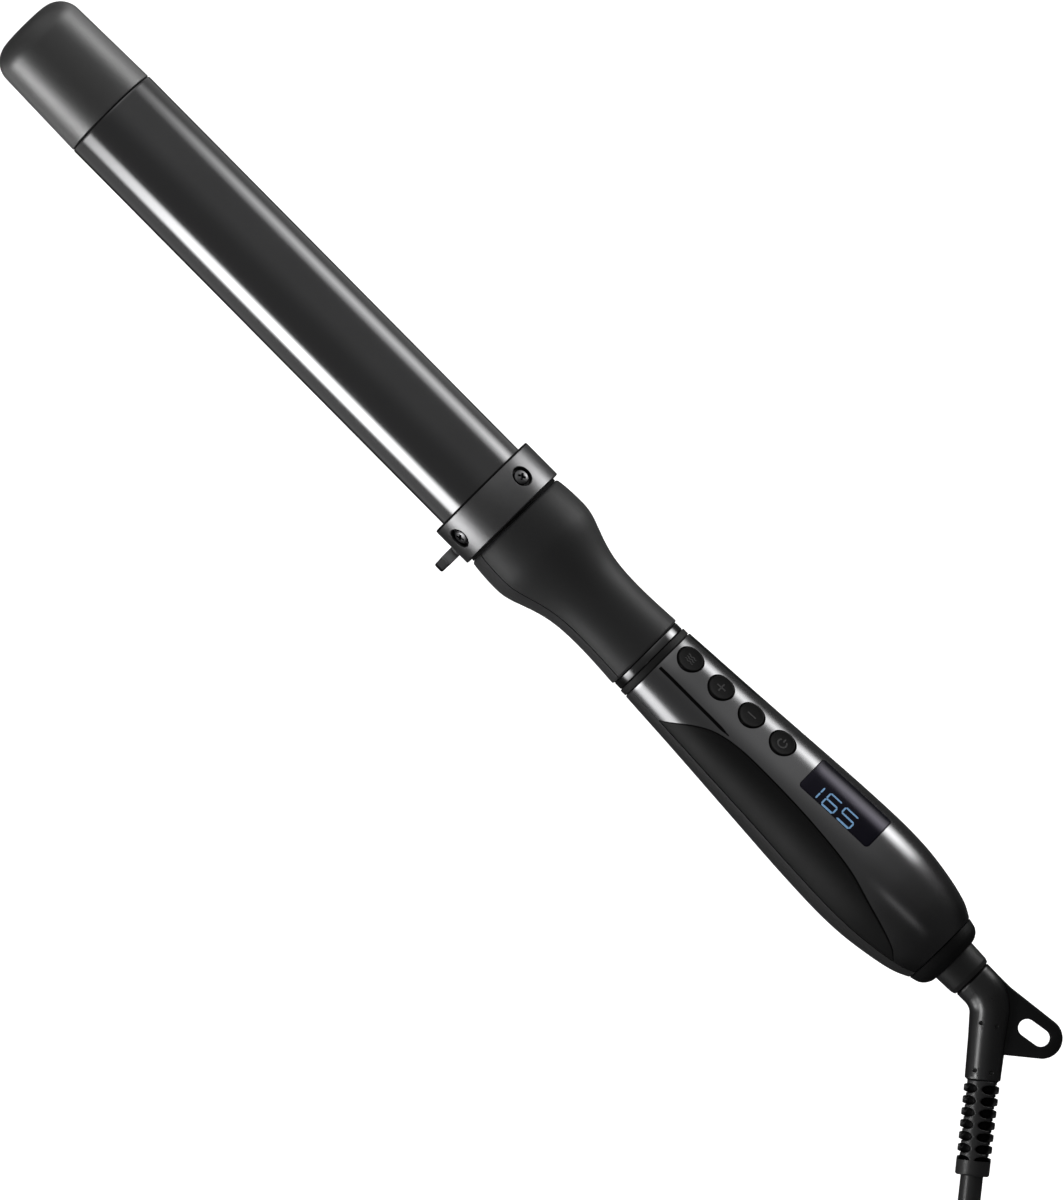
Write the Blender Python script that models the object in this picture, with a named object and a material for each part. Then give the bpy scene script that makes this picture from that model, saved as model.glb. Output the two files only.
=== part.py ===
"""Curling wand with a round heated barrel, a fold-out rest stand and a swivel cord.

Frame: +X runs along the wand towards the cool tip, +Y is the wand's left side, +Z is up through
the control panel. The origin is the middle of the flat underside of the rest stand's foot pad.
The wand's own axis is the line y = 0, z = AXIS_Z. Numbers are millimetres, and MM turns them into
Blender's metres. Unless a piece names another centre, its points are measured from WAND.
"""

import math

import bmesh
import bpy
from mathutils import Vector

MM = 0.001
GAP = 0.3                     # clearance between neighbouring pieces
PART_GAP = 0.15               # each half shell stops this far from the parting plane
FULL, HALF = 32, 16           # segments round a full and a half section
SHARP_ANGLE = math.radians(30)

AXIS_Z = 33.6                 # height of the wand's axis over the foot pad's underside
SWIVEL_Z = 1.55               # height of the swivel's axis over the wand's axis
HINGE_Z = -23.0               # height of the stand's hinge over the wand's axis
WAND = (0, 0, AXIS_Z)
SWIVEL = (0, 0, AXIS_Z + SWIVEL_Z)
PIVOT = (0, 0, AXIS_Z + HINGE_Z)

FORWARD, LEFT, UP = Vector((1, 0, 0)), Vector((0, 1, 0)), Vector((0, 0, 1))
RIGHT, DOWN = -LEFT, -UP

# the buttons sit on a line that rises towards the cord end
PANEL_SLOPE = math.radians(4.9)
PANEL_UP = Vector((math.sin(PANEL_SLOPE), 0, math.cos(PANEL_SLOPE)))
PANEL_BACK = Vector((-math.cos(PANEL_SLOPE), 0, math.sin(PANEL_SLOPE)))
# name ending, x, height of the top above the wand's axis
BUTTONS = [("mode", -73.1, 14.45), ("plus", -85.6, 15.4),
           ("minus", -97.9, 16.45), ("power", -110.4, 17.65)]
FIRST_BUTTON_X, FIRST_BUTTON_TOP = BUTTONS[0][1:]


# ---- materials --------------------------------------------------------------------------------
def material(name, colour, roughness, metallic=0.0):
    made = bpy.data.materials.new(name)
    made.use_nodes = True
    shader = made.node_tree.nodes["Principled BSDF"]
    shader.inputs["Base Color"].default_value = (*colour, 1.0)
    shader.inputs["Roughness"].default_value = roughness
    shader.inputs["Metallic"].default_value = metallic
    made.diffuse_color = (*colour, 1.0)
    return made


BARREL_COAT = material("barrel_coating", (0.035, 0.035, 0.037), roughness=0.16, metallic=0.3)
TIP_PLASTIC = material("tip_plastic", (0.035, 0.035, 0.036), roughness=0.45)
COLLAR_METAL = material("satin_black_metal", (0.05, 0.05, 0.052), roughness=0.35, metallic=0.6)
SOFT_TOUCH = material("soft_touch_black", (0.018, 0.018, 0.019), roughness=0.65)
GUNMETAL = material("gunmetal_gloss", (0.09, 0.09, 0.095), roughness=0.25, metallic=0.5)
CHROME = material("chrome", (0.75, 0.75, 0.76), roughness=0.1, metallic=1.0)
STEEL = material("steel", (0.55, 0.55, 0.56), roughness=0.3, metallic=1.0)
BRASS = material("brass", (0.75, 0.58, 0.28), roughness=0.3, metallic=1.0)
ALUMINIUM = material("aluminium", (0.72, 0.72, 0.73), roughness=0.4, metallic=1.0)
BUTTON_RUBBER = material("button_black", (0.02, 0.02, 0.021), roughness=0.5)
LENS_GLASS = material("lens_glass", (0.01, 0.01, 0.015), roughness=0.05)
CERAMIC = material("ceramic", (0.85, 0.83, 0.78), roughness=0.6)
PPS = material("heat_plastic", (0.12, 0.11, 0.1), roughness=0.6)
BOARD = material("circuit_board", (0.02, 0.2, 0.08), roughness=0.5)
PVC = material("pvc_black", (0.015, 0.015, 0.016), roughness=0.38)
WIRE_BROWN = material("wire_brown", (0.2, 0.08, 0.03), roughness=0.5)
WIRE_BLUE = material("wire_blue", (0.03, 0.12, 0.5), roughness=0.5)
WIRE_WHITE = material("wire_white", (0.8, 0.8, 0.78), roughness=0.5)
SILICONE = material("silicone_black", (0.02, 0.02, 0.02), roughness=0.7)


# ---- helpers ----------------------------------------------------------------------------------
def smooth(mesh):
    mesh.shade_smooth()
    mesh.set_sharp_from_angle(angle=SHARP_ANGLE)


def add(name, solid, mat, centre=WAND):
    """Make an object, with its origin at centre, of a bmesh in millimetres round that centre."""
    bmesh.ops.recalc_face_normals(solid, faces=solid.faces)
    bmesh.ops.scale(solid, vec=Vector((MM, MM, MM)), verts=solid.verts)
    mesh = bpy.data.meshes.new(name)
    solid.to_mesh(mesh)
    solid.free()
    obj = bpy.data.objects.new(name, mesh)
    obj.location = Vector(centre) * MM
    bpy.context.scene.collection.objects.link(obj)
    if mat:
        mesh.materials.append(mat)
    smooth(mesh)
    return obj


def loft(name, rings, mat=None, centre=WAND, wrap=False):
    """Join closed rings of points; wrap joins last to first, otherwise the ends are capped.

    A ring of a single point closes its neighbour with a fan.
    """
    solid = bmesh.new()
    loops = [[solid.verts.new(point) for point in ring] for ring in rings]
    pairs = list(zip(loops, loops[1:]))
    if wrap:
        pairs.append((loops[-1], loops[0]))
    for near, far in pairs:
        count = max(len(near), len(far))
        for i in range(count):
            j = (i + 1) % count
            if len(near) == 1:
                solid.faces.new((near[0], far[i], far[j]))
            elif len(far) == 1:
                solid.faces.new((near[i], near[j], far[0]))
            else:
                solid.faces.new((near[i], near[j], far[j], far[i]))
    if not wrap:
        for loop in (loops[0], loops[-1]):
            if len(loop) > 2:
                solid.faces.new(loop)
    return add(name, solid, mat, centre)


def circle(x, radius, sides, axis_z=0.0):
    """A ring square to X, or a single point where the radius is nothing."""
    if radius < 1e-6:
        return [Vector((x, 0.0, axis_z))]
    angles = [2 * math.pi * i / sides for i in range(sides)]
    return [Vector((x, radius * math.sin(a), axis_z + radius * math.cos(a))) for a in angles]


def oval(x, half_w, height, depth, sides=FULL):
    """A ring square to X, made of a half ellipse above the axis and another below it."""
    points = []
    for i in range(sides):
        angle = 2 * math.pi * i / sides
        reach = height if math.cos(angle) >= 0 else depth
        points.append(Vector((x, half_w * math.sin(angle), reach * math.cos(angle))))
    return points


def turned(name, profile, mat, sides=FULL, axis_z=0.0, centre=WAND):
    """Turn a profile of (x, radius) about X. Unless it starts and ends on the axis, it wraps."""
    on_axis = profile[0][1] < 1e-6 and profile[-1][1] < 1e-6
    rings = [circle(x, radius, sides, axis_z) for x, radius in profile]
    return loft(name, rings, mat, centre, wrap=not on_axis)


def half_arc(x, half_w, height, side):
    """Half an ellipse above (side 1) or below (side -1) the axis, short of the parting plane."""
    start = math.asin(PART_GAP / height)
    angles = [start + (math.pi - 2 * start) * i / HALF for i in range(HALF + 1)]
    return [(x, half_w * math.cos(a), side * height * math.sin(a)) for a in angles]


def half_skin(name, arcs, flat_faces, mat):
    """Join arcs in a closed cycle; flat_faces lists the arcs whose ends make each flat face."""
    solid = bmesh.new()
    loops = [[solid.verts.new(point) for point in arc] for arc in arcs]
    for near, far in zip(loops, loops[1:] + loops[:1]):
        for i in range(HALF):
            solid.faces.new((near[i], near[i + 1], far[i + 1], far[i]))
    for end in (0, -1):
        for face in flat_faces:
            solid.faces.new([loops[k][end] for k in face])
    return add(name, solid, mat)


def box(name, spans, mat, bevel=0.0):
    """A box from its (low, high) spans in x, y and z."""
    solid = bmesh.new()
    size = Vector([high - low for low, high in spans])
    middle = Vector([(low + high) / 2 for low, high in spans])
    bmesh.ops.create_cube(solid, size=1.0)
    bmesh.ops.scale(solid, vec=size, verts=solid.verts)
    bmesh.ops.translate(solid, vec=middle, verts=solid.verts)
    if bevel:
        bmesh.ops.bevel(solid, geom=solid.edges[:], offset=bevel, segments=1, affect="EDGES")
    return add(name, solid, mat)


def pin(name, start, direction, steps, mat, sides, centre=WAND):
    """A stepped round pin; steps lists (distance along, radius)."""
    turn = FORWARD.rotation_difference(Vector(direction).normalized()).to_matrix()
    rings = [[turn @ point + Vector(start) for point in circle(along, radius, sides)]
             for along, radius in steps]
    return loft(name, rings, mat, centre)


def rod(start, direction, length, radius, sides, centre=WAND):
    """A plain cylinder without a material, for cutting or joining."""
    return pin("tool", start, direction, [(0.0, radius), (length, radius)], None, sides, centre)


def radial_rod(direction, x, radius, inner, outer, sides=12):
    """A tool rod square to the wand's axis, from distance inner to distance outer."""
    return rod(Vector((x, 0, 0)) + direction * inner, direction, outer - inner, radius, sides)


def sweep(points, radii, sides, first_side):
    """Rings of a round section carried along a path, square to it, without twist."""
    path = [Vector(point) for point in points]
    last = len(path) - 1
    side = Vector(first_side)
    rings = []
    for i, here in enumerate(path):
        before, after = path[max(i - 1, 0)], path[min(i + 1, last)]
        if i in (0, last):
            tangent = (after - before).normalized()
        else:
            tangent = ((after - here).normalized() + (here - before).normalized()).normalized()
        side = (side - tangent * side.dot(tangent)).normalized()
        other = tangent.cross(side)
        radius = radii[i] if isinstance(radii, list) else radii
        angles = [2 * math.pi * k / sides for k in range(sides)]
        rings.append([here + side * (radius * math.cos(a)) + other * (radius * math.sin(a))
                      for a in angles])
    return rings


def combine(obj, tools, operation="DIFFERENCE"):
    """Boolean obj with each tool, keep the result as obj's mesh and remove the tools."""
    for tool in tools:
        modifier = obj.modifiers.new("cut", "BOOLEAN")
        modifier.operation = operation
        modifier.solver = "EXACT"
        modifier.object = tool
    bpy.context.view_layer.update()
    graph = bpy.context.evaluated_depsgraph_get()
    result = bpy.data.meshes.new_from_object(obj.evaluated_get(graph))
    obj.modifiers.clear()
    obj.data = result
    smooth(result)
    for tool in tools:
        bpy.data.objects.remove(tool)
    return obj


def smooth_curve(stations, x):
    """Smoothly interpolate stations (x, value, ...) ordered from high x to low x."""
    k = 0
    while k < len(stations) - 2 and x < stations[k + 1][0]:
        k += 1
    here, there = stations[k], stations[k + 1]
    before, after = stations[max(k - 1, 0)], stations[min(k + 2, len(stations) - 1)]
    span = there[0] - here[0]
    part = min(max((x - here[0]) / span, 0.0), 1.0)
    values = []
    for c in range(1, len(here)):
        slope_here = (there[c] - before[c]) / (there[0] - before[0]) * span
        slope_there = (after[c] - here[c]) / (after[0] - here[0]) * span
        values.append((2 * part**3 - 3 * part**2 + 1) * here[c]
                      + (part**3 - 2 * part**2 + part) * slope_here
                      + (-2 * part**3 + 3 * part**2) * there[c]
                      + (part**3 - part**2) * slope_there)
    return values


def spaced(first, last, count):
    return [first + (last - first) * i / (count - 1) for i in range(count)]


# ---- barrel and tip ---------------------------------------------------------------------------
BARREL_R, BARREL_WALL = 16.0, 1.0
BARREL_X0, BARREL_X1 = -4.6, 166.8
TIP_X0, TIP_X1 = BARREL_X1 + GAP, 203.9
TIP_R_SEAM, TIP_R_END, TIP_CORNER = 15.9, 15.25, 7.6
TIP_PLUG_R = 14.6             # radius of the parts that slip into the barrel's front end

# (x, radius) from the tip cap's shoulder in through its bore to the axis
TIP_INSIDE = [(TIP_X0, TIP_PLUG_R), (157.0, TIP_PLUG_R), (157.0, 12.6), (196.0, 12.6),
              (200.4, 8.5), (200.4, 0.0)]
INSULATOR_PROFILE = [(150.5, 3.0), (150.5, TIP_PLUG_R), (155.5, TIP_PLUG_R), (155.5, 11.0),
                     (153.0, 11.0), (153.0, 3.0)]
FLANGE_PROFILE = [(14.0, 10.0), (14.0, 14.65), (-6.6, 14.65), (-6.6, 15.5), (-14.5, 15.5),
                  (-14.5, 12.5), (-8.0, 10.0)]

COLLAR_SCREW_X, BRACKET_SCREW_X = 1.65, 4.9
COLLAR_SCREWS = [("collar_screw_top", UP), ("collar_screw_left", LEFT),
                 ("collar_screw_right", RIGHT)]
SCREW_HOLES = [(d, COLLAR_SCREW_X) for _, d in COLLAR_SCREWS] + [(DOWN, BRACKET_SCREW_X)]
SCREW_HOLE_R, FLANGE_HOLE_R = 1.6, 1.55


def build_tip_cap():
    outside = [(TIP_X0, TIP_R_SEAM), (TIP_X1 - TIP_CORNER, TIP_R_END)]
    for i in range(1, 6):
        angle = math.radians(18 * i)
        outside.append((TIP_X1 - TIP_CORNER * (1 - math.sin(angle)),
                        TIP_R_END - TIP_CORNER * (1 - math.cos(angle))))
    turned("tip_cap", [(TIP_X1, 0.0)] + outside[::-1] + TIP_INSIDE, TIP_PLASTIC)


def build_barrel():
    bore = BARREL_R - BARREL_WALL
    barrel = turned("barrel_tube", [(BARREL_X0, BARREL_R), (BARREL_X1, BARREL_R),
                                    (BARREL_X1, bore), (BARREL_X0, bore)], BARREL_COAT, sides=40)
    combine(barrel, [radial_rod(direction, x, SCREW_HOLE_R, inner=13.0, outer=18.0)
                     for direction, x in SCREW_HOLES])


def build_barrel_flange():
    flange = turned("barrel_flange", FLANGE_PROFILE, PPS, sides=20)
    combine(flange, [radial_rod(direction, x, FLANGE_HOLE_R, inner=8.0, outer=16.5)
                     for direction, x in SCREW_HOLES])


# ---- heater, inside the barrel ----------------------------------------------------------------
SPREADER_X0, SPREADER_X1 = 20.0, 138.0
# radius, height of the flat edge off the wand's axis
SPREADER_OUTER, SPREADER_INNER = (14.55, 2.65), (12.2, 5.0)
SPREADER_STEPS = 8

HEATER_SPANS = ((30.0, 130.0), (-6.8, 6.8), (-2.25, 2.25))
SPRING_X0, SPRING_X1 = 40.0, 120.0
SPRING_Y0, SPRING_Y1 = 8.0, 11.4
SPRING_Z, SPRING_RISE, SPRING_THICK = -1.2, 2.0, 0.5

SENSOR_Y = -9.8               # the fuse and the thermistor lie along this line
FUSE_X, THERMISTOR_X = 56.0, 88.0
FUSE_STEPS = [(0, 0.5), (2.0, 0.5), (2.0, 1.9), (12.0, 1.9), (13.5, 0.5), (16.0, 0.5)]
THERMISTOR_STEPS = [(0, 0.6), (1.0, 1.5), (5.0, 1.5), (6.0, 0.6)]


def build_heat_spreader(name, side):
    """A half-round extrusion, hollow along its length; side 1 is the upper one, -1 the lower."""
    def section(x, radius, flat):
        start = math.asin(flat / radius)
        angles = [start + (math.pi - 2 * start) * i / SPREADER_STEPS
                  for i in range(SPREADER_STEPS + 1)]
        return [Vector((x, radius * math.cos(a), side * radius * math.sin(a))) for a in angles]

    rings = [section(SPREADER_X1, *SPREADER_OUTER), section(SPREADER_X0, *SPREADER_OUTER),
             section(SPREADER_X0, *SPREADER_INNER), section(SPREADER_X1, *SPREADER_INNER)]
    loft(name, rings, ALUMINIUM, wrap=True)


def build_leaf_spring():
    """A flat strip arched upwards along X."""
    rings = []
    for x in spaced(SPRING_X0, SPRING_X1, 9):
        z = SPRING_RISE * math.sin(math.pi * (x - SPRING_X0) / (SPRING_X1 - SPRING_X0)) + SPRING_Z
        top = z + SPRING_THICK
        rings.append([(x, SPRING_Y0, z), (x, SPRING_Y1, z), (x, SPRING_Y1, top),
                      (x, SPRING_Y0, top)])
    loft("heater_leaf_spring", rings, STEEL)


def build_heater():
    turned("tip_insulator_plug", INSULATOR_PROFILE, CERAMIC, sides=24)
    build_heat_spreader("heat_spreader_upper", 1.0)
    build_heat_spreader("heat_spreader_lower", -1.0)
    box("ptc_heater", HEATER_SPANS, CERAMIC, bevel=0.4)
    build_leaf_spring()
    pin("thermal_fuse", (FUSE_X, SENSOR_Y, 0), FORWARD, FUSE_STEPS, STEEL, 12)
    pin("thermistor", (THERMISTOR_X, SENSOR_Y, 0), FORWARD, THERMISTOR_STEPS, CERAMIC, 10)


# ---- collar and its screws --------------------------------------------------------------------
COLLAR_X0, COLLAR_X1 = -5.0, 8.3
COLLAR_R, COLLAR_BORE, COLLAR_CHAMFER = 19.13, 16.35, 0.8
COUNTERBORE_R, COUNTERBORE_FLOOR = 3.1, 17.6
COLLAR_SCREW_START = 11.5     # distance of the screw's point from the axis
# screw tables: (distance from the point, radius)
COLLAR_SCREW_STEPS = [(0, 0.7), (0.8, 1.25), (6.45, 1.25), (6.45, 2.4), (7.1, 2.4), (7.45, 2.0)]


def build_collar():
    rim = COLLAR_R - COLLAR_CHAMFER
    collar = turned("collar_ring", [(COLLAR_X1, COLLAR_BORE), (COLLAR_X1, rim),
                                    (COLLAR_X1 - COLLAR_CHAMFER, COLLAR_R),
                                    (COLLAR_X0 + COLLAR_CHAMFER, COLLAR_R),
                                    (COLLAR_X0, rim), (COLLAR_X0, COLLAR_BORE)],
                    COLLAR_METAL, sides=40)
    cuts = []
    for _, direction in COLLAR_SCREWS:
        cuts.append(radial_rod(direction, COLLAR_SCREW_X, COUNTERBORE_R,
                               inner=COUNTERBORE_FLOOR, outer=21.0, sides=20))
        cuts.append(radial_rod(direction, COLLAR_SCREW_X, SCREW_HOLE_R, inner=14.0, outer=18.5))
    cuts.append(radial_rod(DOWN, BRACKET_SCREW_X, SCREW_HOLE_R, inner=14.0, outer=21.0))
    combine(collar, cuts)


def build_collar_screws():
    for name, direction in COLLAR_SCREWS:
        start = Vector((COLLAR_SCREW_X, 0, 0)) + direction * COLLAR_SCREW_START
        pin(name, start, direction, COLLAR_SCREW_STEPS, STEEL, 14)


# ---- rest stand and its bracket ---------------------------------------------------------------
BRACKET_X0, BRACKET_X1 = -2.2, 7.2
BRACKET_HALF_W = 6.4
BRACKET_Z0, BRACKET_Z1 = -20.75, -19.45
EAR_INNER_Y, EAR_TOP_Z, EAR_R = 4.75, -20.0, 2.0
BRACKET_SCREW_Z = -11.5
BRACKET_SCREW_STEPS = [(0, 0.7), (0.8, 1.25), (8.75, 1.25), (9.15, 1.9), (9.2, 1.9)]
HEAD_SINK_Z = -19.95
HEAD_SINK_STEPS = [(0, 1.6), (0.85, 2.25), (3, 2.25)]
HINGE_PIN_Y = -6.9
HINGE_PIN_STEPS = [(0, 0.8), (0.2, 1.0), (13.6, 1.0), (13.8, 0.8)]
EAR_HOLE_R, KNUCKLE_HOLE_R = 1.3, 1.32

# the stand and its pad are measured from the hinge
STAND_HALF_W, KNUCKLE_HALF_W, KNUCKLE_R = 9.0, 4.4, 1.9
PAD_THICK = 1.3
FOOT_Z = -(HINGE_Z + AXIS_Z)  # underside of the pad
PAD_TOP = FOOT_Z + PAD_THICK
# z, half width, half thickness of the blade
BLADE_STATIONS = [(-0.2, KNUCKLE_HALF_W, 1.85), (-2.5, KNUCKLE_HALF_W, 1.85), (-3.6, 7.6, 1.84),
                  (-4.8, STAND_HALF_W, 1.78), (PAD_TOP + GAP, STAND_HALF_W, 1.62)]
WINDOW_Z, WINDOW_R = -6.0, 1.5


def build_stand_bracket():
    bracket = box("stand_bracket", ((BRACKET_X0, BRACKET_X1), (-BRACKET_HALF_W, BRACKET_HALF_W),
                                    (BRACKET_Z0, BRACKET_Z1)), COLLAR_METAL)
    outline = [(BRACKET_X0, EAR_TOP_Z), (-BRACKET_X0, EAR_TOP_Z)]
    for i in range(9):
        angle = math.pi * i / 8
        outline.append((EAR_R * math.cos(angle), HINGE_Z - EAR_R * math.sin(angle)))
    ears = []
    for span in ((-BRACKET_HALF_W, -EAR_INNER_Y), (EAR_INNER_Y, BRACKET_HALF_W)):
        ears.append(loft("ear", [[(x, y, z) for x, z in outline] for y in span]))
    combine(bracket, ears, "UNION")
    combine(bracket, [rod((0, -9, HINGE_Z), LEFT, 18, EAR_HOLE_R, 14),
                      rod((BRACKET_SCREW_X, 0, -18), DOWN, 4, SCREW_HOLE_R, 12),
                      pin("tool", (BRACKET_SCREW_X, 0, HEAD_SINK_Z), DOWN, HEAD_SINK_STEPS,
                          None, 16)])
    pin("stand_bracket_screw", (BRACKET_SCREW_X, 0, BRACKET_SCREW_Z), DOWN, BRACKET_SCREW_STEPS,
        STEEL, 14)
    pin("stand_hinge_pin", (0, HINGE_PIN_Y, HINGE_Z), LEFT, HINGE_PIN_STEPS, STEEL, 14)


def blade_ring(z, half_w, half_thick, corner=0.5):
    """A level rectangle with cut corners."""
    corners = ((1, 1, 0), (1, 1, 1), (-1, 1, 1), (-1, 1, 0),
               (-1, -1, 0), (-1, -1, 1), (1, -1, 1), (1, -1, 0))
    return [Vector((x_side * (half_thick - (corner if x_cut else 0)),
                    y_side * (half_w - (0 if x_cut else corner)), z))
            for x_side, y_side, x_cut in corners]


def build_rest_stand():
    """A knuckle on the pin, a short neck, shoulders and a tapering blade."""
    stand = pin("rest_stand", (0, -KNUCKLE_HALF_W, 0), LEFT,
                [(0.0, KNUCKLE_R), (2 * KNUCKLE_HALF_W, KNUCKLE_R)], COLLAR_METAL, 20, PIVOT)
    blade = loft("blade", [blade_ring(*station) for station in BLADE_STATIONS], centre=PIVOT)
    combine(stand, [blade], "UNION")
    combine(stand, [rod((0, -9, 0), LEFT, 18, KNUCKLE_HOLE_R, 14, PIVOT),
                    rod((-4, 0, WINDOW_Z), FORWARD, 8, WINDOW_R, 16, PIVOT)])


def build_foot_pad():
    loft("stand_foot_pad", [blade_ring(PAD_TOP, STAND_HALF_W, 1.62),
                            blade_ring(FOOT_Z + 0.25, STAND_HALF_W, 1.58),
                            blade_ring(FOOT_Z, STAND_HALF_W - 0.25, 1.4, corner=0.4)],
         SILICONE, PIVOT)


# ---- neck -------------------------------------------------------------------------------------
# (x, radius) of the outside, from the barrel end to the trim ring
NECK_OUTSIDE = [(-6.1, 17.6), (-7.4, 18.0), (-11.8, 18.42), (-16.3, 18.55), (-19.3, 18.38),
                (-22.4, 17.65), (-25.6, 16.5), (-30.0, 14.95), (-34.6, 13.75), (-39.2, 13.12),
                (-45.0, 12.85), (-51.0, 12.92), (-57.0, 13.2), (-61.9, 13.5)]
SPIGOT_R, SPIGOT_BORE, SPIGOT_END = 10.3, 8.5, -69.8
# (x, radius) of the inside, from the spigot back to the barrel end
NECK_INSIDE = [(-61.0, SPIGOT_BORE), (-52.0, 10.2), (-45.0, 10.5), (-38.0, 10.8), (-30.0, 12.5),
               (-25.0, 14.2), (-21.0, 15.9), (-6.1, 15.9)]
NECK_LOOP = (NECK_OUTSIDE + [(NECK_OUTSIDE[-1][0], SPIGOT_R), (SPIGOT_END, SPIGOT_R),
                             (SPIGOT_END, SPIGOT_BORE)] + NECK_INSIDE)
NOTCH_Z, NOTCH_LENGTH, NOTCH_R = 6.5, 9, 5.5
RING_BORE = 10.65
TRIM_X0, TRIM_X1, TRIM_R = -64.85, -62.25, 12.9
TRIM_EDGE_X, TRIM_EDGE_R = 0.35, 0.3      # the edge bevel's length and depth
SEAL_X0, SEAL_X1, SEAL_R = -67.1, -65.15, 13.5


def build_neck():
    shells = []
    for name, side in (("neck_lower_shell", -1.0), ("neck_upper_shell", 1.0)):
        arcs = [half_arc(x, radius, radius, side) for x, radius in NECK_LOOP]
        shells.append(half_skin(name, arcs, [range(len(arcs))], SOFT_TOUCH))
    # a notch in the spigot clears the first button's flange
    combine(shells[1], [rod((FIRST_BUTTON_X, 0, NOTCH_Z), PANEL_UP, NOTCH_LENGTH, NOTCH_R, 20)])


def build_neck_rings():
    edge = TRIM_R - TRIM_EDGE_R
    turned("neck_trim_ring", [(TRIM_X1, RING_BORE), (TRIM_X1, edge),
                              (TRIM_X1 - TRIM_EDGE_X, TRIM_R), (TRIM_X0 + TRIM_EDGE_X, TRIM_R),
                              (TRIM_X0, edge), (TRIM_X0, RING_BORE)], CHROME)
    turned("neck_seal_ring", [(SEAL_X1, RING_BORE), (SEAL_X1, SEAL_R), (SEAL_X0, SEAL_R),
                              (SEAL_X0, RING_BORE)], SILICONE)


# ---- handle -----------------------------------------------------------------------------------
# x, half width, height above the axis, depth below the axis
HANDLE = [(-67.4, 13.45, 14.0, 13.4), (-73.0, 13.75, 14.6, 13.75), (-85.6, 14.5, 15.5, 14.25),
          (-98.0, 15.2, 16.6, 15.1), (-110.4, 15.85, 17.9, 16.2), (-123.8, 16.6, 19.3, 17.25),
          (-137.0, 17.45, 20.35, 17.95), (-150.7, 18.1, 21.1, 18.2), (-158.2, 18.15, 21.2, 18.0),
          (-165.8, 17.75, 20.85, 17.25), (-174.8, 16.5, 19.55, 15.75),
          (-180.9, 15.2, 18.1, 14.5), (-184.4, 14.1, 16.8, 13.3), (-187.8, 12.35, 14.7, 11.9)]
HANDLE_WALL = 2.2
SHELL_X = [-67.4, -73.0, -79.3, -85.6, -98.0, -110.4, -123.8, -137.0, -150.7, -158.2, -165.8,
           -170.5, -174.8, -178.2, -180.9, -184.4, -187.8]

# edge of the soft grip inlay: x, angle from the top of the handle in degrees
INLAY_EDGE = [(-79.6, 88.0), (-83.0, 74.0), (-86.3, 61.6), (-89.7, 52.0), (-93.0, 45.5),
              (-96.4, 41.6), (-99.8, 39.3), (-105.4, 37.7), (-117.5, 38.2), (-135.6, 40.8),
              (-151.3, 45.8), (-162.0, 54.6), (-171.8, 65.0), (-177.9, 76.0), (-180.6, 88.0)]
INLAY_X = [-79.6, -81.5, -83.4, -86.3, -89.7, -94.0, -100.0, -110.0, -123.0, -137.0, -151.3,
           -162.0, -170.0, -176.0, -179.3, -180.6]
INLAY_RECESS, INLAY_THICK = 1.2, 0.88
INLAY_CUT_ABOVE, INLAY_CUT_FLOOR = 1.5, -1.0
INLAY_TRIM_X, INLAY_TRIM_ANGLE = 0.45, 1.15    # clearance of the inlay in its recess, mm, degrees
INLAY_STEPS = 6

# a shallow groove down each side of the panel, at an angle from the top in degrees
LINE_ANGLE, LINE_X0, LINE_X1, LINE_W, LINE_DEPTH = 36.8, -68.4, -96.0, 0.7, 0.6
LINE_CUT_ABOVE = 0.6

BUTTON_HOLE_R = 4.6
LENS_X0, LENS_X1, LENS_HALF_W, LENS_CORNER = -122.5, -150.4, 6.7, 1.2
WINDOW_GROW, WINDOW_CUT_Z = 0.32, (12.0, 26.0)

# name ending, x, y of each screw post
POSTS = [("front_left", -80.0, 9.1), ("front_right", -80.0, -9.1),
         ("rear_left", -164.0, 10.5), ("rear_right", -164.0, -10.5)]
CORE_X = (-69.0, -79.3, -98.0, -123.8, -150.7, -165.8, -178.2, -184.4)
CORE_INSET = 0.9
UPPER_POST_R, PILOT_R = 2.3, 1.4
LOWER_POST_R, POST_HOLE_R, POST_BORE_R = 3.2, 1.6, 2.4
BORE_RISE = 3.6               # floor of the screw bore above the lower shell's outside
HEAD_RISE = BORE_RISE - GAP
SCREW_TOP_Z = 5.5


def handle_at(x):
    """Half width, height and depth of the handle at x."""
    return smooth_curve(HANDLE, x)


def ellipse_z(y, half_w, height):
    return height * math.sqrt(1 - (y / half_w) ** 2)


def underside_z(x, y):
    half_w, _, depth = handle_at(x)
    return -ellipse_z(y, half_w, depth)


def build_shell(name, side, mat):
    """Half of the handle's skin, with an inner face HANDLE_WALL below the outer one."""
    def arc(x, inset):
        half_w, height, depth = handle_at(x)
        return half_arc(x, half_w - inset, (height if side > 0 else depth) - inset, side)

    arcs = [arc(x, 0.0) for x in SHELL_X] + [arc(x, HANDLE_WALL) for x in reversed(SHELL_X)]
    last = len(arcs) - 1
    flats = [(k, k + 1, last - 1 - k, last - k) for k in range(len(SHELL_X) - 1)]
    return half_skin(name, arcs, flats, mat)


def surface(x, angle, offset, side):
    """A point of the upper shell: angle 0 is the top, 90 the parting plane; offset is outwards."""
    half_w, height, _ = handle_at(x)
    turn = math.radians(angle)
    return Vector((x, side * (half_w + offset) * math.sin(turn),
                   (height + offset) * math.cos(turn)))


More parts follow.
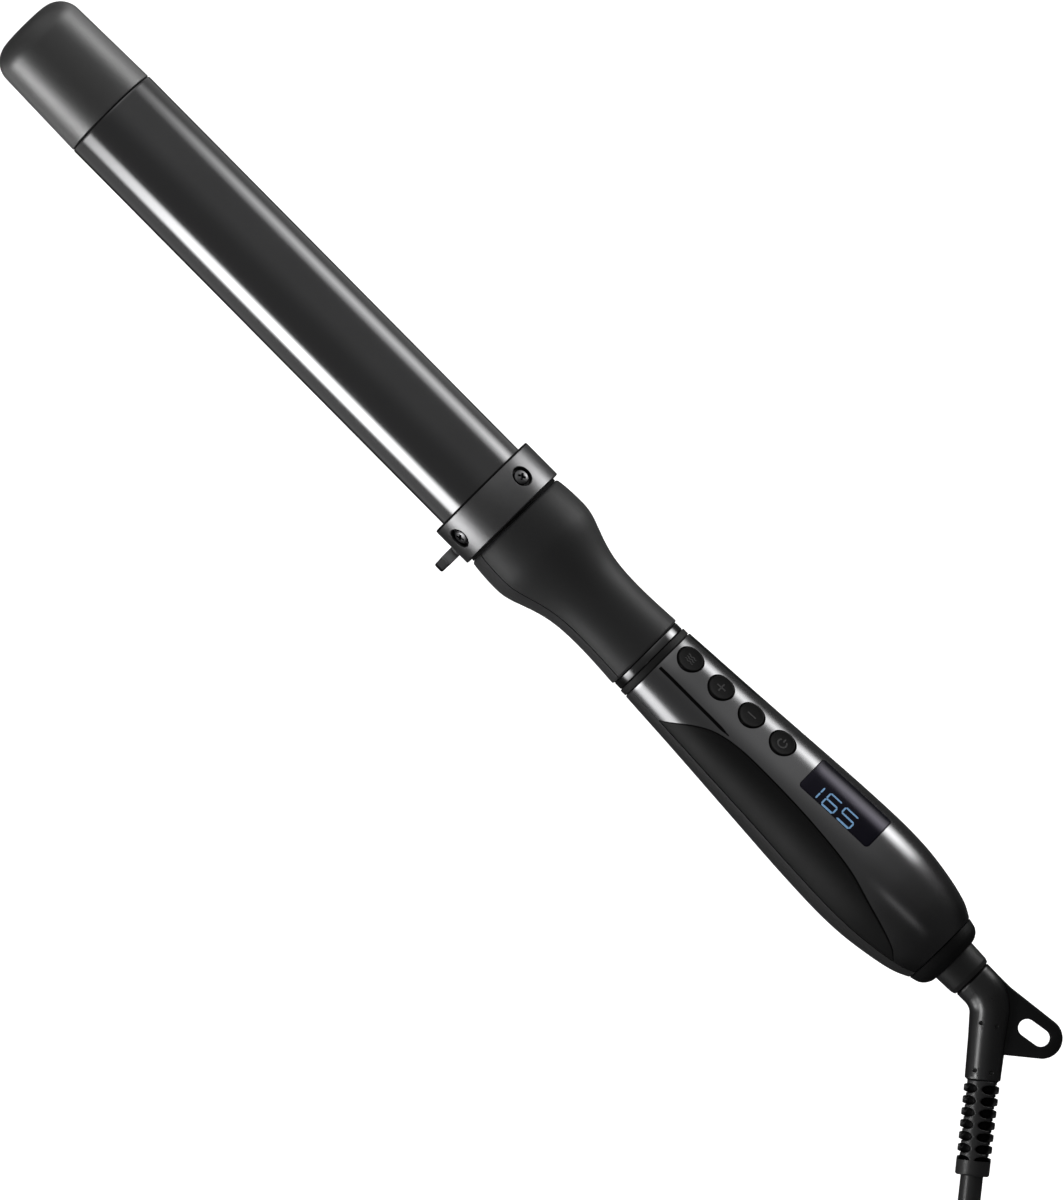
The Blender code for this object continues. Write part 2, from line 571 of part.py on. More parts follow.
def inlay_rings(stations, side, outer, inner, trim, floor=None):
    """Sections between two offsets from the skin; floor, if given, carries them down to that z."""
    rings = []
    for x in stations:
        height = handle_at(x)[1]
        low = 90.0 - math.degrees(math.asin(PART_GAP / height))
        high = min(smooth_curve(INLAY_EDGE, x)[0] + trim, low - 1.0)
        angles = spaced(high, low, INLAY_STEPS + 1)
        outside = [surface(x, angle, outer, side) for angle in angles]
        inside = [surface(x, angle, inner, side) for angle in angles]
        if floor is not None:
            outside.append(Vector((x, outside[-1].y, floor)))
            inside.append(Vector((x, inside[-1].y, floor)))
        rings.append(outside + inside[::-1])
    return rings


def line_tool(side):
    rings = []
    for x in spaced(LINE_X0, LINE_X1, 6):
        half_angle = math.degrees(LINE_W / 2 / handle_at(x)[0])
        high, low = LINE_ANGLE - half_angle, LINE_ANGLE + half_angle
        rings.append([surface(x, high, LINE_CUT_ABOVE, side), surface(x, low, LINE_CUT_ABOVE, side),
                      surface(x, low, -LINE_DEPTH, side), surface(x, high, -LINE_DEPTH, side)])
    return loft("tool", rings)


def window_ring(z):
    """The lens's rounded rectangle, grown outwards by WINDOW_GROW."""
    corner = LENS_CORNER + WINDOW_GROW
    front = LENS_X0 + WINDOW_GROW - corner
    back = LENS_X1 - WINDOW_GROW + corner
    half_w = LENS_HALF_W + WINDOW_GROW - corner
    points = []
    for x, y, first in ((front, half_w, 0), (back, half_w, 90),
                        (back, -half_w, 180), (front, -half_w, 270)):
        for i in range(4):
            angle = math.radians(first + 30 * i)
            points.append((x + corner * math.cos(angle), y + corner * math.sin(angle), z))
    return points


def post(x, y, z, direction, length, radius):
    """A screw post trimmed by the handle's inset outline, so that it ends inside the skin."""
    blank = rod((x, y, z), direction, length, radius, 12)
    rings = []
    for station in CORE_X:
        sizes = [size - CORE_INSET for size in handle_at(station)]
        rings.append(oval(station, *sizes, sides=28))
    return combine(blank, [loft("core", rings)], "INTERSECT")


def build_upper_shell():
    upper = build_shell("handle_upper_shell", 1.0, GUNMETAL)
    cuts = []
    for side in (1.0, -1.0):
        recess = inlay_rings(INLAY_X, side, INLAY_CUT_ABOVE, -INLAY_RECESS, 0.0, INLAY_CUT_FLOOR)
        cuts.append(loft("tool", recess))
        cuts.append(line_tool(side))
    for _, x, top in BUTTONS:
        cuts.append(rod(Vector((x, 0, top)) - PANEL_UP * 6, PANEL_UP, 10, BUTTON_HOLE_R, 20))
    cuts.append(loft("tool", [window_ring(z) for z in WINDOW_CUT_Z]))
    combine(upper, cuts)
    combine(upper, [post(x, y, GAP, UP, 21.0, UPPER_POST_R) for _, x, y in POSTS], "UNION")
    combine(upper, [rod((x, y, -1), UP, 8.5, PILOT_R, 10) for _, x, y in POSTS])


def build_lower_shell():
    lower = build_shell("handle_lower_shell", -1.0, SOFT_TOUCH)
    posts, holes = [], []
    for _, x, y in POSTS:
        posts.append(post(x, y, -GAP, DOWN, 20.0, LOWER_POST_R))
        holes.append(rod((x, y, 1), DOWN, 30, POST_HOLE_R, 10))
        holes.append(rod((x, y, underside_z(x, y) + BORE_RISE), DOWN, 12, POST_BORE_R, 14))
    combine(lower, posts, "UNION")
    combine(lower, holes)


def build_handle_screws():
    for ending, x, y in POSTS:
        shank = SCREW_TOP_Z - (underside_z(x, y) + HEAD_RISE)
        steps = [(0, 0.5), (0.8, 1.1), (shank, 1.1), (shank, 2.05), (shank + 1.2, 2.05),
                 (shank + 1.5, 1.5)]
        pin("handle_screw_" + ending, (x, y, SCREW_TOP_Z), DOWN, steps, STEEL, 12)


def build_grip_inlays():
    stations = [INLAY_X[0] - INLAY_TRIM_X, *INLAY_X[1:-1], INLAY_X[-1] + INLAY_TRIM_X]
    for name, side in (("grip_inlay_left", 1.0), ("grip_inlay_right", -1.0)):
        loft(name, inlay_rings(stations, side, 0.0, -INLAY_THICK, INLAY_TRIM_ANGLE), SOFT_TOUCH)


# ---- display, buttons and boards --------------------------------------------------------------
LENS_THICK, LENS_PROUD = 1.4, 0.15
# depths are measured down from the line of the buttons' tops
BOARD_DEPTH, BOARD_THICK = 11.5, 1.4
BUTTON_R, BUTTON_H = 4.25, 6.35
# (distance from the stem's foot, radius)
BUTTON_STEPS = [(0, 1.5), (1.5, 1.5), (1.5, 5.1), (2.3, 5.1), (2.3, BUTTON_R), (6.1, BUTTON_R),
                (BUTTON_H, BUTTON_R - 0.35)]
SWITCH_HALF, SWITCH_STEM_HALF, SWITCH_BODY_H = 3.0, 1.4, 3.5
SWITCH_MIN_STEM = 0.6
SWITCH_OFF_BOARD, SWITCH_TO_BUTTON = 0.32, 0.85     # clearances below and above the switch
POWER_BOARD_SPANS = ((-158.0, -88.0), (-8.5, 8.5), (-6.6, -5.2))
CAPACITOR_SPANS = ((-141.0, -124.0), (-4.0, 4.0), (-4.85, 3.0))


def build_display_lens():
    """A curved plate standing LENS_PROUD above the handle's top."""
    outline = []                                   # x, half width
    for inward in (0.0, 0.35, LENS_CORNER, 7.0, (LENS_X0 - LENS_X1) / 2):
        rise = math.sqrt(LENS_CORNER**2 - max(LENS_CORNER - inward, 0) ** 2)
        outline.append((LENS_X0 - inward, LENS_HALF_W - LENS_CORNER + rise))
    outline += [(LENS_X0 + LENS_X1 - x, half_w) for x, half_w in reversed(outline[:-1])]
    rings = []
    for x, lens_half_w in outline:
        half_w, height, _ = handle_at(x)
        top = []
        for k in range(-4, 5):
            y = lens_half_w * k / 4
            top.append(Vector((x, y, ellipse_z(y, half_w + LENS_PROUD, height + LENS_PROUD))))
        rings.append(top + [Vector((p.x, p.y, p.z - LENS_THICK)) for p in reversed(top)])
    loft("display_lens", rings, LENS_GLASS)


def panel_point(x):
    """The point on the line of the buttons' tops, at x."""
    along = (FIRST_BUTTON_X - x) / math.cos(PANEL_SLOPE)
    return Vector((FIRST_BUTTON_X, 0, FIRST_BUTTON_TOP)) + PANEL_BACK * along


def panel_box(name, x0, x1, half_w, depth0, depth1, mat=None):
    """A box lying parallel to the panel."""
    across = LEFT * half_w
    rings = []
    for x in (x0, x1):
        high = panel_point(x) - PANEL_UP * depth0
        low = panel_point(x) - PANEL_UP * depth1
        rings.append([high + across, low + across, low - across, high - across])
    return loft(name, rings, mat)


def build_boards():
    panel_box("control_board", -70.6, -158.0, half_w=6.2, depth0=BOARD_DEPTH,
              depth1=BOARD_DEPTH + BOARD_THICK, mat=BOARD)
    display = panel_box("display_module", -123.5, -150.5, half_w=6.0, depth0=3.6, depth1=7.0,
                        mat=PVC)
    pedestal = panel_box("pedestal", -126.0, -148.0, half_w=4.0, depth0=6.5,
                         depth1=BOARD_DEPTH - 0.35)
    combine(display, [pedestal], "UNION")
    box("power_board", POWER_BOARD_SPANS, BOARD)
    box("mains_capacitor", CAPACITOR_SPANS, PPS, bevel=0.5)


def build_button(ending, x, top):
    pin("button_" + ending, -PANEL_UP * BUTTON_H, PANEL_UP, BUTTON_STEPS, BUTTON_RUBBER, 20,
        centre=(x, 0, top + AXIS_Z))


def build_switch(ending, x, top):
    """A square body on the control board with a square stem that reaches up to the button."""
    floor = panel_point(x) - PANEL_UP * (BOARD_DEPTH - SWITCH_OFF_BOARD)
    reach = (Vector((x, 0, top)) - floor).dot(PANEL_UP) - BUTTON_H - SWITCH_TO_BUTTON
    body_h = min(SWITCH_BODY_H, reach - SWITCH_MIN_STEM)
    rings = []
    for rise, half in ((0.0, SWITCH_HALF), (body_h, SWITCH_HALF),
                       (body_h, SWITCH_STEM_HALF), (reach, SWITCH_STEM_HALF)):
        middle = floor + PANEL_UP * rise
        back, left = PANEL_BACK * half, LEFT * half
        rings.append([middle + back + left, middle - back + left,
                      middle - back - left, middle + back - left])
    loft("switch_" + ending, rings, PPS)


# ---- end cap and swivel -----------------------------------------------------------------------
CAP_X0, CAP_INNER_X = HANDLE[-1][0] - GAP, -185.0
# x, half width, height, depth of the cap's outside
CAP_STATIONS = [(CAP_X0, 12.2, 14.55, 11.8), (-190.0, 11.75, 14.3, 11.2),
                (-191.3, 11.2, 13.9, 10.5), (-192.6, 10.0, 12.8, 9.0), (-193.4, 8.6, 11.2, 7.1)]
CAP_PLUG = (9.7, 12.0, 9.3)   # half width, height, depth
CAP_HOLE_R, CAP_HOLE_X = 7.9, -193.5

# (x, radius) about the swivel's axis
SOCKET_PROFILE = [(-201.1, 5.2), (-201.1, 6.8), (-199.8, 7.3), (-193.6, 7.55), (-184.6, 7.55),
                  (-184.6, 9.0), (-182.4, 9.0), (-182.4, 7.2), (-179.5, 7.2), (-179.5, 5.2)]
SPIGOT_PROFILE = [(-205.0, 2.9), (-205.0, 4.85), (-178.9, 4.85), (-178.9, 4.2), (-177.9, 4.2),
                  (-177.9, 4.85), (-176.6, 4.85), (-176.6, 2.5), (-171.0, 2.5), (-171.0, 1.5),
                  (-180.5, 1.5), (-183.0, 2.9)]
CLIP_SECTION = [(-178.75, 4.5), (-178.75, 6.4), (-178.05, 6.4), (-178.05, 4.5)]
CONTACT_RING_PROFILE = [(-175.9, 2.8), (-175.9, 3.6), (-172.0, 3.6), (-172.0, 2.8)]
CONTACT_PIN_X = -180.0
CONTACT_PIN_STEPS = [(0, 1.15), (12.8, 1.15), (13.8, 0.5)]

# brush paths: (x, z)
PIN_BRUSH = [(-165.5, 3.2), (-165.5, -1.0), (-163.2, -3.2), (-159.2, -4.4), (-152.0, -4.6)]
RING_BRUSH = [(-175.5, -2.9), (-173.9, -2.6), (-172.2, -2.9), (-171.6, -4.6), (-164.0, -4.6),
              (-152.0, -4.6)]
BRUSH_THICK = 0.4
PIN_BRUSH_Y = -4.4            # origin of the pin brush, which brings it to the middle


def build_end_cap():
    rings = [oval(*station) for station in CAP_STATIONS]
    rings += [circle(x, CAP_HOLE_R, FULL, SWIVEL_Z) for x in (CAP_HOLE_X, CAP_INNER_X)]
    rings += [oval(x, *CAP_PLUG) for x in (CAP_INNER_X, CAP_X0)]
    loft("end_cap", rings, SOFT_TOUCH, wrap=True)


def build_retaining_clip():
    """An open ring with a 60 degree gap at the top."""
    rings = []
    for i in range(19):
        angle = math.radians(30 + 300 * i / 18)
        rings.append([(x, radius * math.sin(angle), radius * math.cos(angle))
                      for x, radius in CLIP_SECTION])
    loft("swivel_retaining_clip", rings, STEEL, SWIVEL)


def build_swivel():
    turned("swivel_socket", SOCKET_PROFILE, PVC, sides=24, axis_z=SWIVEL_Z)
    turned("swivel_spigot", SPIGOT_PROFILE, PPS, sides=16, centre=SWIVEL)
    build_retaining_clip()
    turned("contact_ring", CONTACT_RING_PROFILE, BRASS, sides=20, centre=SWIVEL)
    pin("contact_pin", (CONTACT_PIN_X, 0, 0), FORWARD, CONTACT_PIN_STEPS, BRASS, 12, SWIVEL)


def build_brush(name, path, y0, y1, centre=WAND):
    """A flat spring strip bent along a path of (x, z) points."""
    last = len(path) - 1
    rings = []
    for i, (x, z) in enumerate(path):
        tangent = (Vector(path[min(i + 1, last)]) - Vector(path[max(i - 1, 0)])).normalized()
        off_x, off_z = Vector((-tangent.y, tangent.x)) * BRUSH_THICK / 2
        rings.append([(x + off_x, y0, z + off_z), (x + off_x, y1, z + off_z),
                      (x - off_x, y1, z - off_z), (x - off_x, y0, z - off_z)])
    loft(name, rings, BRASS, centre)


# ---- elbow with hanging loop, strain relief and cord ------------------------------------------
ELBOW_ROLL = math.radians(35.5)   # the elbow's plane, turned about X from the Y-Z axes
SIDE = Vector((0, -math.cos(ELBOW_ROLL), math.sin(ELBOW_ROLL)))   # away from the cord
NORMAL = Vector((0, math.sin(ELBOW_ROLL), math.cos(ELBOW_ROLL)))  # square to the elbow's plane
# points of that plane are (distance behind the origin, distance along SIDE)
BEND_AT, BEND_ANGLE, BEND_R = 209.75, math.radians(51.0), 10.0
TANGENT = BEND_R * math.tan(BEND_ANGLE / 2)
BEND_START = BEND_AT - TANGENT
LEG = Vector((math.cos(BEND_ANGLE), -math.sin(BEND_ANGLE)))       # the cord's direction
ELBOW_LEG = 24.7                  # from the bend's corner to the elbow's shoulder
ELBOW_RADII = [6.5, 6.48, 6.4, 6.25, 6.05, 5.85, 5.68, 5.6, 5.4]
BORE_RADII = [5.2, 5.2, 5.0, 4.8, 4.6, 4.45, 4.4, 4.4]

TAB_HALF_THICK = 1.6
TAB_ROOT = [(206.5, 3.0), (206.5, 6.4), (211.7, 6.5)]
LOOP_CENTRE, LOOP_R = (229.0, 2.35), 6.25
# the slot is a stadium: half distance between its end centres, end radius, tilt
SLOT_CENTRE, SLOT_HALF, SLOT_R, SLOT_TILT = (226.2, 1.75), 2.6, 2.72, math.radians(9.4)

RELIEF_LEN, RELIEF_GROOVES, RELIEF_PITCH, RELIEF_FIRST = 29.05, 7, 3.62, 0.67
RELIEF_START, RELIEF_END = ELBOW_LEG + GAP, ELBOW_LEG + RELIEF_LEN
RELIEF_R_START, RELIEF_R_END, RELIEF_TAIL_R = 5.4, 5.2, 4.5
RELIEF_BORE, RELIEF_ROOT_R = 3.8, 4.3
RELIEF_SIDES, RELIEF_WEB_HALF = 24, math.radians(20)
GROOVE_HALF_FLOOR, GROOVE_HALF_MOUTH = 0.8, 0.95

CORD_R, CORD_BORE = 3.45, 2.55
CORD_START, CORD_STRAIGHT = 14.0, 8.5
CORD_STEPS, CORD_STEP, CORD_END = 5, 2.4, 6.0
CORD_LEVEL = Vector((-0.66, 0.751, 0.0))      # direction the cord eases into
CORE_R, CORE_OFFSET = 0.95, 1.25


def planar(back, side, out=0.0):
    """A point of the elbow's plane, raised off it by out."""
    return Vector((-back, 0, 0)) + SIDE * side + NORMAL * out


def leg_point(along, across=0.0):
    """A plane point on the cord's line, past the bend's corner, and across it."""
    return (BEND_AT + LEG.x * along - across * LEG.y, LEG.y * along + across * LEG.x)


def elbow_path(first, steps, last):
    """From first along the swivel's axis, round the bend and out to last along the leg."""
    points = [(first, 0.0)]
    if first < BEND_START - 0.5:
        points.append((BEND_START, 0.0))
    for i in range(1, steps):
        angle = BEND_ANGLE * i / steps
        points.append((BEND_START + BEND_R * math.sin(angle), -BEND_R * (1 - math.cos(angle))))
    points += [leg_point(TANGENT), leg_point(last)]
    return [planar(*point) for point in points]


def plate(outline, half_thick):
    return loft("tool", [[planar(back, side, out) for back, side in outline]
                         for out in (-half_thick, half_thick)], centre=SWIVEL)


def tab_outline():
    outline = list(TAB_ROOT)
    for i in range(13):
        angle = math.radians(96 - i * 12.5)
        outline.append((LOOP_CENTRE[0] + LOOP_R * math.cos(angle),
                        LOOP_CENTRE[1] + LOOP_R * math.sin(angle)))
    return outline + [leg_point(16.6, 5.3), leg_point(14.5, 0.0)]


def slot_outline():
    outline = []
    cos_tilt, sin_tilt = math.cos(SLOT_TILT), math.sin(SLOT_TILT)
    for i in range(20):
        if i % 10 == 5:           # the straight sides run past these two points
            continue
        angle = 2 * math.pi * i / 20
        x = math.copysign(SLOT_HALF, math.cos(angle)) + SLOT_R * math.cos(angle)
        y = SLOT_R * math.sin(angle)
        outline.append((SLOT_CENTRE[0] + x * cos_tilt - y * sin_tilt,
                        SLOT_CENTRE[1] + x * sin_tilt + y * cos_tilt))
    return outline


def build_elbow():
    rings = sweep(elbow_path(201.5, 6, ELBOW_LEG), ELBOW_RADII, 20, NORMAL)
    elbow = loft("cord_elbow", rings, PVC, SWIVEL)
    combine(elbow, [plate(tab_outline(), TAB_HALF_THICK)], "UNION")
    slot = plate(slot_outline(), 5)
    bore_rings = sweep(elbow_path(200.5, 5, ELBOW_LEG + 2.0), BORE_RADII, 16, NORMAL)
    combine(elbow, [slot, loft("tool", bore_rings, centre=SWIVEL)])


def leg_ring(along, radius, web_radius=None):
    """A ring square to the leg; web_radius applies near the two faces square to NORMAL."""
    points = []
    for k in range(RELIEF_SIDES):
        angle = 2 * math.pi * k / RELIEF_SIDES
        on_web = web_radius and abs(math.cos(angle)) > math.cos(RELIEF_WEB_HALF)
        reach = web_radius if on_web else radius
        back, side = leg_point(along, reach * math.sin(angle))
        points.append(planar(back, side, reach * math.cos(angle)))
    return points


def build_strain_relief():
    """Rings joined by a web on each face, so that it flexes sideways."""
    def outer_r(along):
        part = (along - RELIEF_START) / (RELIEF_END - RELIEF_START)
        return RELIEF_R_START + (RELIEF_R_END - RELIEF_R_START) * part

    def full(along):
        return leg_ring(along, outer_r(along))

    def root(along):
        return leg_ring(along, RELIEF_ROOT_R, outer_r(along))

    first = RELIEF_START + RELIEF_FIRST
    rings = [root(RELIEF_START), root(first + GROOVE_HALF_FLOOR), full(first + GROOVE_HALF_MOUTH)]
    for groove in range(1, RELIEF_GROOVES):
        middle = first + RELIEF_PITCH * groove
        rings += [full(middle - GROOVE_HALF_MOUTH), root(middle - GROOVE_HALF_FLOOR),
                  root(middle + GROOVE_HALF_FLOOR), full(middle + GROOVE_HALF_MOUTH)]
    rings += [full(RELIEF_END - 0.5), leg_ring(RELIEF_END, RELIEF_TAIL_R),
              leg_ring(RELIEF_END, RELIEF_BORE), leg_ring(RELIEF_START, RELIEF_BORE)]
    loft("strain_relief", rings, PVC, SWIVEL, wrap=True)


def cord_path():
    """Straight out of the relief, then easing level above the table."""
    points = [planar(*leg_point(along))
              for along in (CORD_START, RELIEF_END, RELIEF_END + CORD_STRAIGHT)]
    direction = (planar(*leg_point(1.0)) - planar(*leg_point(0.0))).normalized()
    for i in range(1, CORD_STEPS + 1):
        heading = direction.lerp(CORD_LEVEL, i / CORD_STEPS).normalized()
        points.append(points[-1] + heading * CORD_STEP)
    points.append(points[-1] + CORD_LEVEL.normalized() * CORD_END)
    return points


def build_cord():
    path = cord_path()
    outside = sweep(path, CORD_R, 16, NORMAL)
    inside = sweep(path, CORD_BORE, 16, NORMAL)
    loft("power_cord", outside + inside[::-1], PVC, SWIVEL, wrap=True)


def build_cord_cores():
    path = [planar(191.0, 0.0), planar(198.0, 0.0)] + elbow_path(204.5, 4, 12.0) + cord_path()
    frames = sweep(path, 1.0, 4, NORMAL)
    for name, side, mat in (("cord_core_live", 1.0, WIRE_BROWN),
                            ("cord_core_neutral", -1.0, WIRE_BLUE)):
        shifted = [point + (ring[0] - point).normalized() * (CORE_OFFSET * side)
                   for ring, point in zip(frames, path)]
        loft(name, sweep(shifted, CORE_R, 8, NORMAL), mat, SWIVEL)


# ---- leads from the heater to the boards ------------------------------------------------------
HEATER_LEAD_R, SENSOR_LEAD_R = 0.85, 0.6
# path of the live lead on the left; the neutral lead mirrors it
HEATER_LEAD = [(29.5, 3.2, 0), (16, 4.5, 0), (-6, 4.5, 0), (-25, 4, -1.5), (-45, 3.2, -3.4),
               (-66, 3.2, -4.2), (-96.0, 3.2, -4.1)]
SENSOR_LEAD = [(87.5, SENSOR_Y, 0), (82, -12.7, 0), (20.5, -12.7, 0), (17, -9, 1.5),
               (10, -4, 3.2), (-4, 0, 3.5), (-30, 0, 2.0), (-60, 0, 0.6), (-71.5, 0, 0.4)]


def build_leads():
    mirrored = [(x, -y, z) for x, y, z in HEATER_LEAD]
    for name, path, radius, mat in (
            ("heater_lead_live", HEATER_LEAD, HEATER_LEAD_R, WIRE_BROWN),
            ("heater_lead_neutral", mirrored, HEATER_LEAD_R, WIRE_BLUE),
            ("sensor_lead", SENSOR_LEAD, SENSOR_LEAD_R, WIRE_WHITE)):
        loft(name, sweep(path, radius, 8, UP), mat)


# ---- build ------------------------------------------------------------------------------------
for old in list(bpy.data.objects):
    bpy.data.objects.remove(old)

build_tip_cap()
build_barrel()
build_barrel_flange()
build_heater()
build_collar()
build_collar_screws()
build_stand_bracket()
build_rest_stand()
build_foot_pad()
build_neck()
build_neck_rings()
build_upper_shell()
build_lower_shell()
build_handle_screws()
build_grip_inlays()
build_display_lens()
build_boards()
for button in BUTTONS:
    build_button(*button)
    build_switch(*button)
build_end_cap()
build_swivel()
build_brush("brush_contact_pin", PIN_BRUSH, 3.4, 5.4, centre=(0, PIN_BRUSH_Y, AXIS_Z))
build_brush("brush_contact_ring", RING_BRUSH, -5.6, -3.6)
build_elbow()
build_strain_relief()
build_cord()
build_cord_cores()
build_leads()
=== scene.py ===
"""A curling wand with its rest stand and swivelling cord, built round its CAD frame.

The barrel lies along X with the cool tip at +X and the cord at -X; +Y is the left side, +Z the
top, and the ground is z = 0. Shapes are in millimetres about the barrel's axis, the stand's
pivot or the swivel, and piece() scales them to metres. Stage, lights and camera are in metres.
"""
import math

import bmesh
import bpy
from mathutils import Matrix, Vector


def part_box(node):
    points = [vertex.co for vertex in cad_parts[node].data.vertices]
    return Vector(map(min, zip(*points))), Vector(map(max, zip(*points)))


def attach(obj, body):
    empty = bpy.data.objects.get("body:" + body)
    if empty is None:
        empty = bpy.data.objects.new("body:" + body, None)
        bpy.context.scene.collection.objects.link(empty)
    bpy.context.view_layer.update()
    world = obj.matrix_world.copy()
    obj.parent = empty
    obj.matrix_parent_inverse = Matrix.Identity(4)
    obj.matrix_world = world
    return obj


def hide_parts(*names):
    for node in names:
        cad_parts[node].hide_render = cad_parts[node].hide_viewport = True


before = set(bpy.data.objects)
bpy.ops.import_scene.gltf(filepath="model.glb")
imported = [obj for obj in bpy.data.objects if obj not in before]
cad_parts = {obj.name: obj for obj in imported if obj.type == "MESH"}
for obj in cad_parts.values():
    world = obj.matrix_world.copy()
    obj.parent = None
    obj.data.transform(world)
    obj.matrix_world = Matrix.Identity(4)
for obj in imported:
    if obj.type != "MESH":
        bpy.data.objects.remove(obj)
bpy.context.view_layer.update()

MM = 0.001


def middle_z(node):
    lo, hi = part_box(node)
    return (lo.z + hi.z) / 2 / MM


# ---------------------------------------------------------------- driving dimensions
lo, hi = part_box("barrel_tube")
BARREL_X0, BARREL_X1, BARREL_R = lo.x / MM, hi.x / MM, (hi.y - lo.y) / 2 / MM
lo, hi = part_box("collar_ring")
COLLAR_X0, COLLAR_X1, COLLAR_R = lo.x / MM, hi.x / MM, (hi.y - lo.y) / 2 / MM
TIP_X0, TIP_X1 = BARREL_X1 + 0.22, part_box("tip_cap")[1].x / MM - 0.005

AXIS_Z = middle_z("barrel_tube")
# Heights of the stand's hinge and of the cord swivel, from the barrel's axis.
HINGE_Z = middle_z("stand_hinge_pin") - AXIS_Z
SWIVEL_Z = middle_z("swivel_socket") - AXIS_Z
AXIS = Vector((0, 0, AXIS_Z))
SWIVEL = Vector((0, 0, AXIS_Z + SWIVEL_Z))
PIVOT = Vector((0, 0, AXIS_Z + HINGE_Z))

FORWARD, UP, DOWN = Vector((1, 0, 0)), Vector((0, 0, 1)), Vector((0, 0, -1))
LEFT, RIGHT = Vector((0, 1, 0)), Vector((0, -1, 0))

# The elbow bends in the plane of X and SIDE. NORMAL stands out of it, up and to the left, and
# is also the camera's direction.
ROLL = math.radians(35.5)
SIDE = Vector((0, -math.cos(ROLL), math.sin(ROLL)))
NORMAL = Vector((0, math.sin(ROLL), math.cos(ROLL)))
BEND_AT, BEND_ANGLE = 209.75, math.radians(51.0)

ROUND = 128  # segments round most of the large turned parts


# ---------------------------------------------------------------- mesh tools
def piece(name, bm, material=None, body=None, centre=AXIS, replaces=None, sharp=32):
    """Makes an object of a millimetre mesh about centre, and settles it if it has a body."""
    bmesh.ops.recalc_face_normals(bm, faces=bm.faces)
    bmesh.ops.scale(bm, vec=Vector((MM, MM, MM)), verts=bm.verts)
    mesh = bpy.data.meshes.new(name)
    bm.to_mesh(mesh)
    bm.free()
    obj = bpy.data.objects.new(name, mesh)
    obj.location = Vector(centre) * MM
    bpy.context.scene.collection.objects.link(obj)
    if material:
        mesh.materials.append(MATERIALS[material])
    smooth(obj, sharp)
    if body:
        settle(obj, body, replaces)
    return obj


def smooth(obj, sharp):
    obj.data.shade_smooth()
    obj.data.set_sharp_from_angle(angle=math.radians(sharp))


def settle(obj, body, replaces):
    """Hangs the object on its body's empty, and hides the CAD node that it replaces."""
    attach(obj, body)
    if replaces:
        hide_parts(replaces)


def loft(rings, wrap=False, caps=True, bm=None):
    """Skins a row of rings; a ring of one point closes to a fan."""
    if bm is None:
        bm = bmesh.new()
    made = [[bm.verts.new(p) for p in ring] for ring in rings]
    pairs = list(zip(made, made[1:])) + ([(made[-1], made[0])] if wrap else [])
    for a, b in pairs:
        n = max(len(a), len(b))
        for i in range(n):
            j = (i + 1) % n
            if len(a) == 1:
                bm.faces.new((a[0], b[i], b[j]))
            elif len(b) == 1:
                bm.faces.new((a[i], a[j], b[0]))
            else:
                bm.faces.new((a[i], a[j], b[j], b[i]))
    if caps and not wrap:
        for ring in (made[0], made[-1]):
            if len(ring) > 2:
                bm.faces.new(ring)
    return bm


def circle(x, radius, segments, z=0.0):
    if radius < 1e-6:
        return [Vector((x, 0, z))]
    turns = [2 * math.pi * i / segments for i in range(segments)]
    return [Vector((x, radius * math.sin(a), z + radius * math.cos(a))) for a in turns]


def oval(x, half_width, above, below, segments=ROUND):
    """A ring whose upper and lower halves have their own heights."""
    ring = []
    for i in range(segments):
        a = 2 * math.pi * i / segments
        height = above if math.cos(a) >= 0 else below
        ring.append(Vector((x, half_width * math.sin(a), height * math.cos(a))))
    return ring


def fillet(points, steps):
    """Rounds an outline of (x, r) or (x, r, radius): a corner with a radius becomes an arc."""
    out = []
    for i, point in enumerate(points):
        if len(point) == 2:
            out.append(point)
            continue
        before, corner = Vector(points[i - 1][:2]), Vector(point[:2])
        after = Vector(points[(i + 1) % len(points)][:2])
        u, v = (before - corner).normalized(), (after - corner).normalized()
        half = u.angle(v) / 2
        back = min(point[2] / math.tan(half), (before - corner).length * 0.48,
                   (after - corner).length * 0.48)
        radius = back * math.tan(half)
        centre = corner + (u + v).normalized() * (radius / math.sin(half))
        start, end = corner + u * back - centre, corner + v * back - centre
        turn = start.angle_signed(end)
        for k in range(steps + 1):
            t = -turn * k / steps
            out.append((centre.x + start.x * math.cos(t) - start.y * math.sin(t),
                        centre.y + start.x * math.sin(t) + start.y * math.cos(t)))
    return out


def turned(profile, segments, z=0.0):
    """Turns (x, r) about X; a profile that doesn't begin and end on the axis is a closed loop."""
    on_axis = profile[0][1] < 1e-6 and profile[-1][1] < 1e-6
    return loft([circle(x, r, segments, z) for x, r in profile], wrap=not on_axis, caps=False)


def half_shell(stations, top, segments, gap):
    """The top or bottom half of a tube round a closed loop of (x, half width, height)
    stations; it stops at gap from the plane between the halves."""
    bm = bmesh.new()
    side = 1.0 if top else -1.0
    made = []
    for x, width, height in stations:
        start = math.asin(gap / height)
        ring = []
        for i in range(segments + 1):
            a = start + (math.pi - 2 * start) * i / segments
            ring.append(bm.verts.new((x, width * math.cos(a), side * height * math.sin(a))))
        made.append(ring)
    for k, a in enumerate(made):
        b = made[(k + 1) % len(made)]
        for i in range(segments):
            bm.faces.new((a[i], a[i + 1], b[i + 1], b[i]))
    for end in (0, -1):
        bm.faces.new([ring[end] for ring in made])
    return bm


def along(start, direction, steps, segments):
    """A round solid of (distance, radius) steps along any direction."""
    turn = FORWARD.rotation_difference(Vector(direction).normalized()).to_matrix()
    return loft([[turn @ p + Vector(start) for p in circle(d, r, segments)] for d, r in steps])


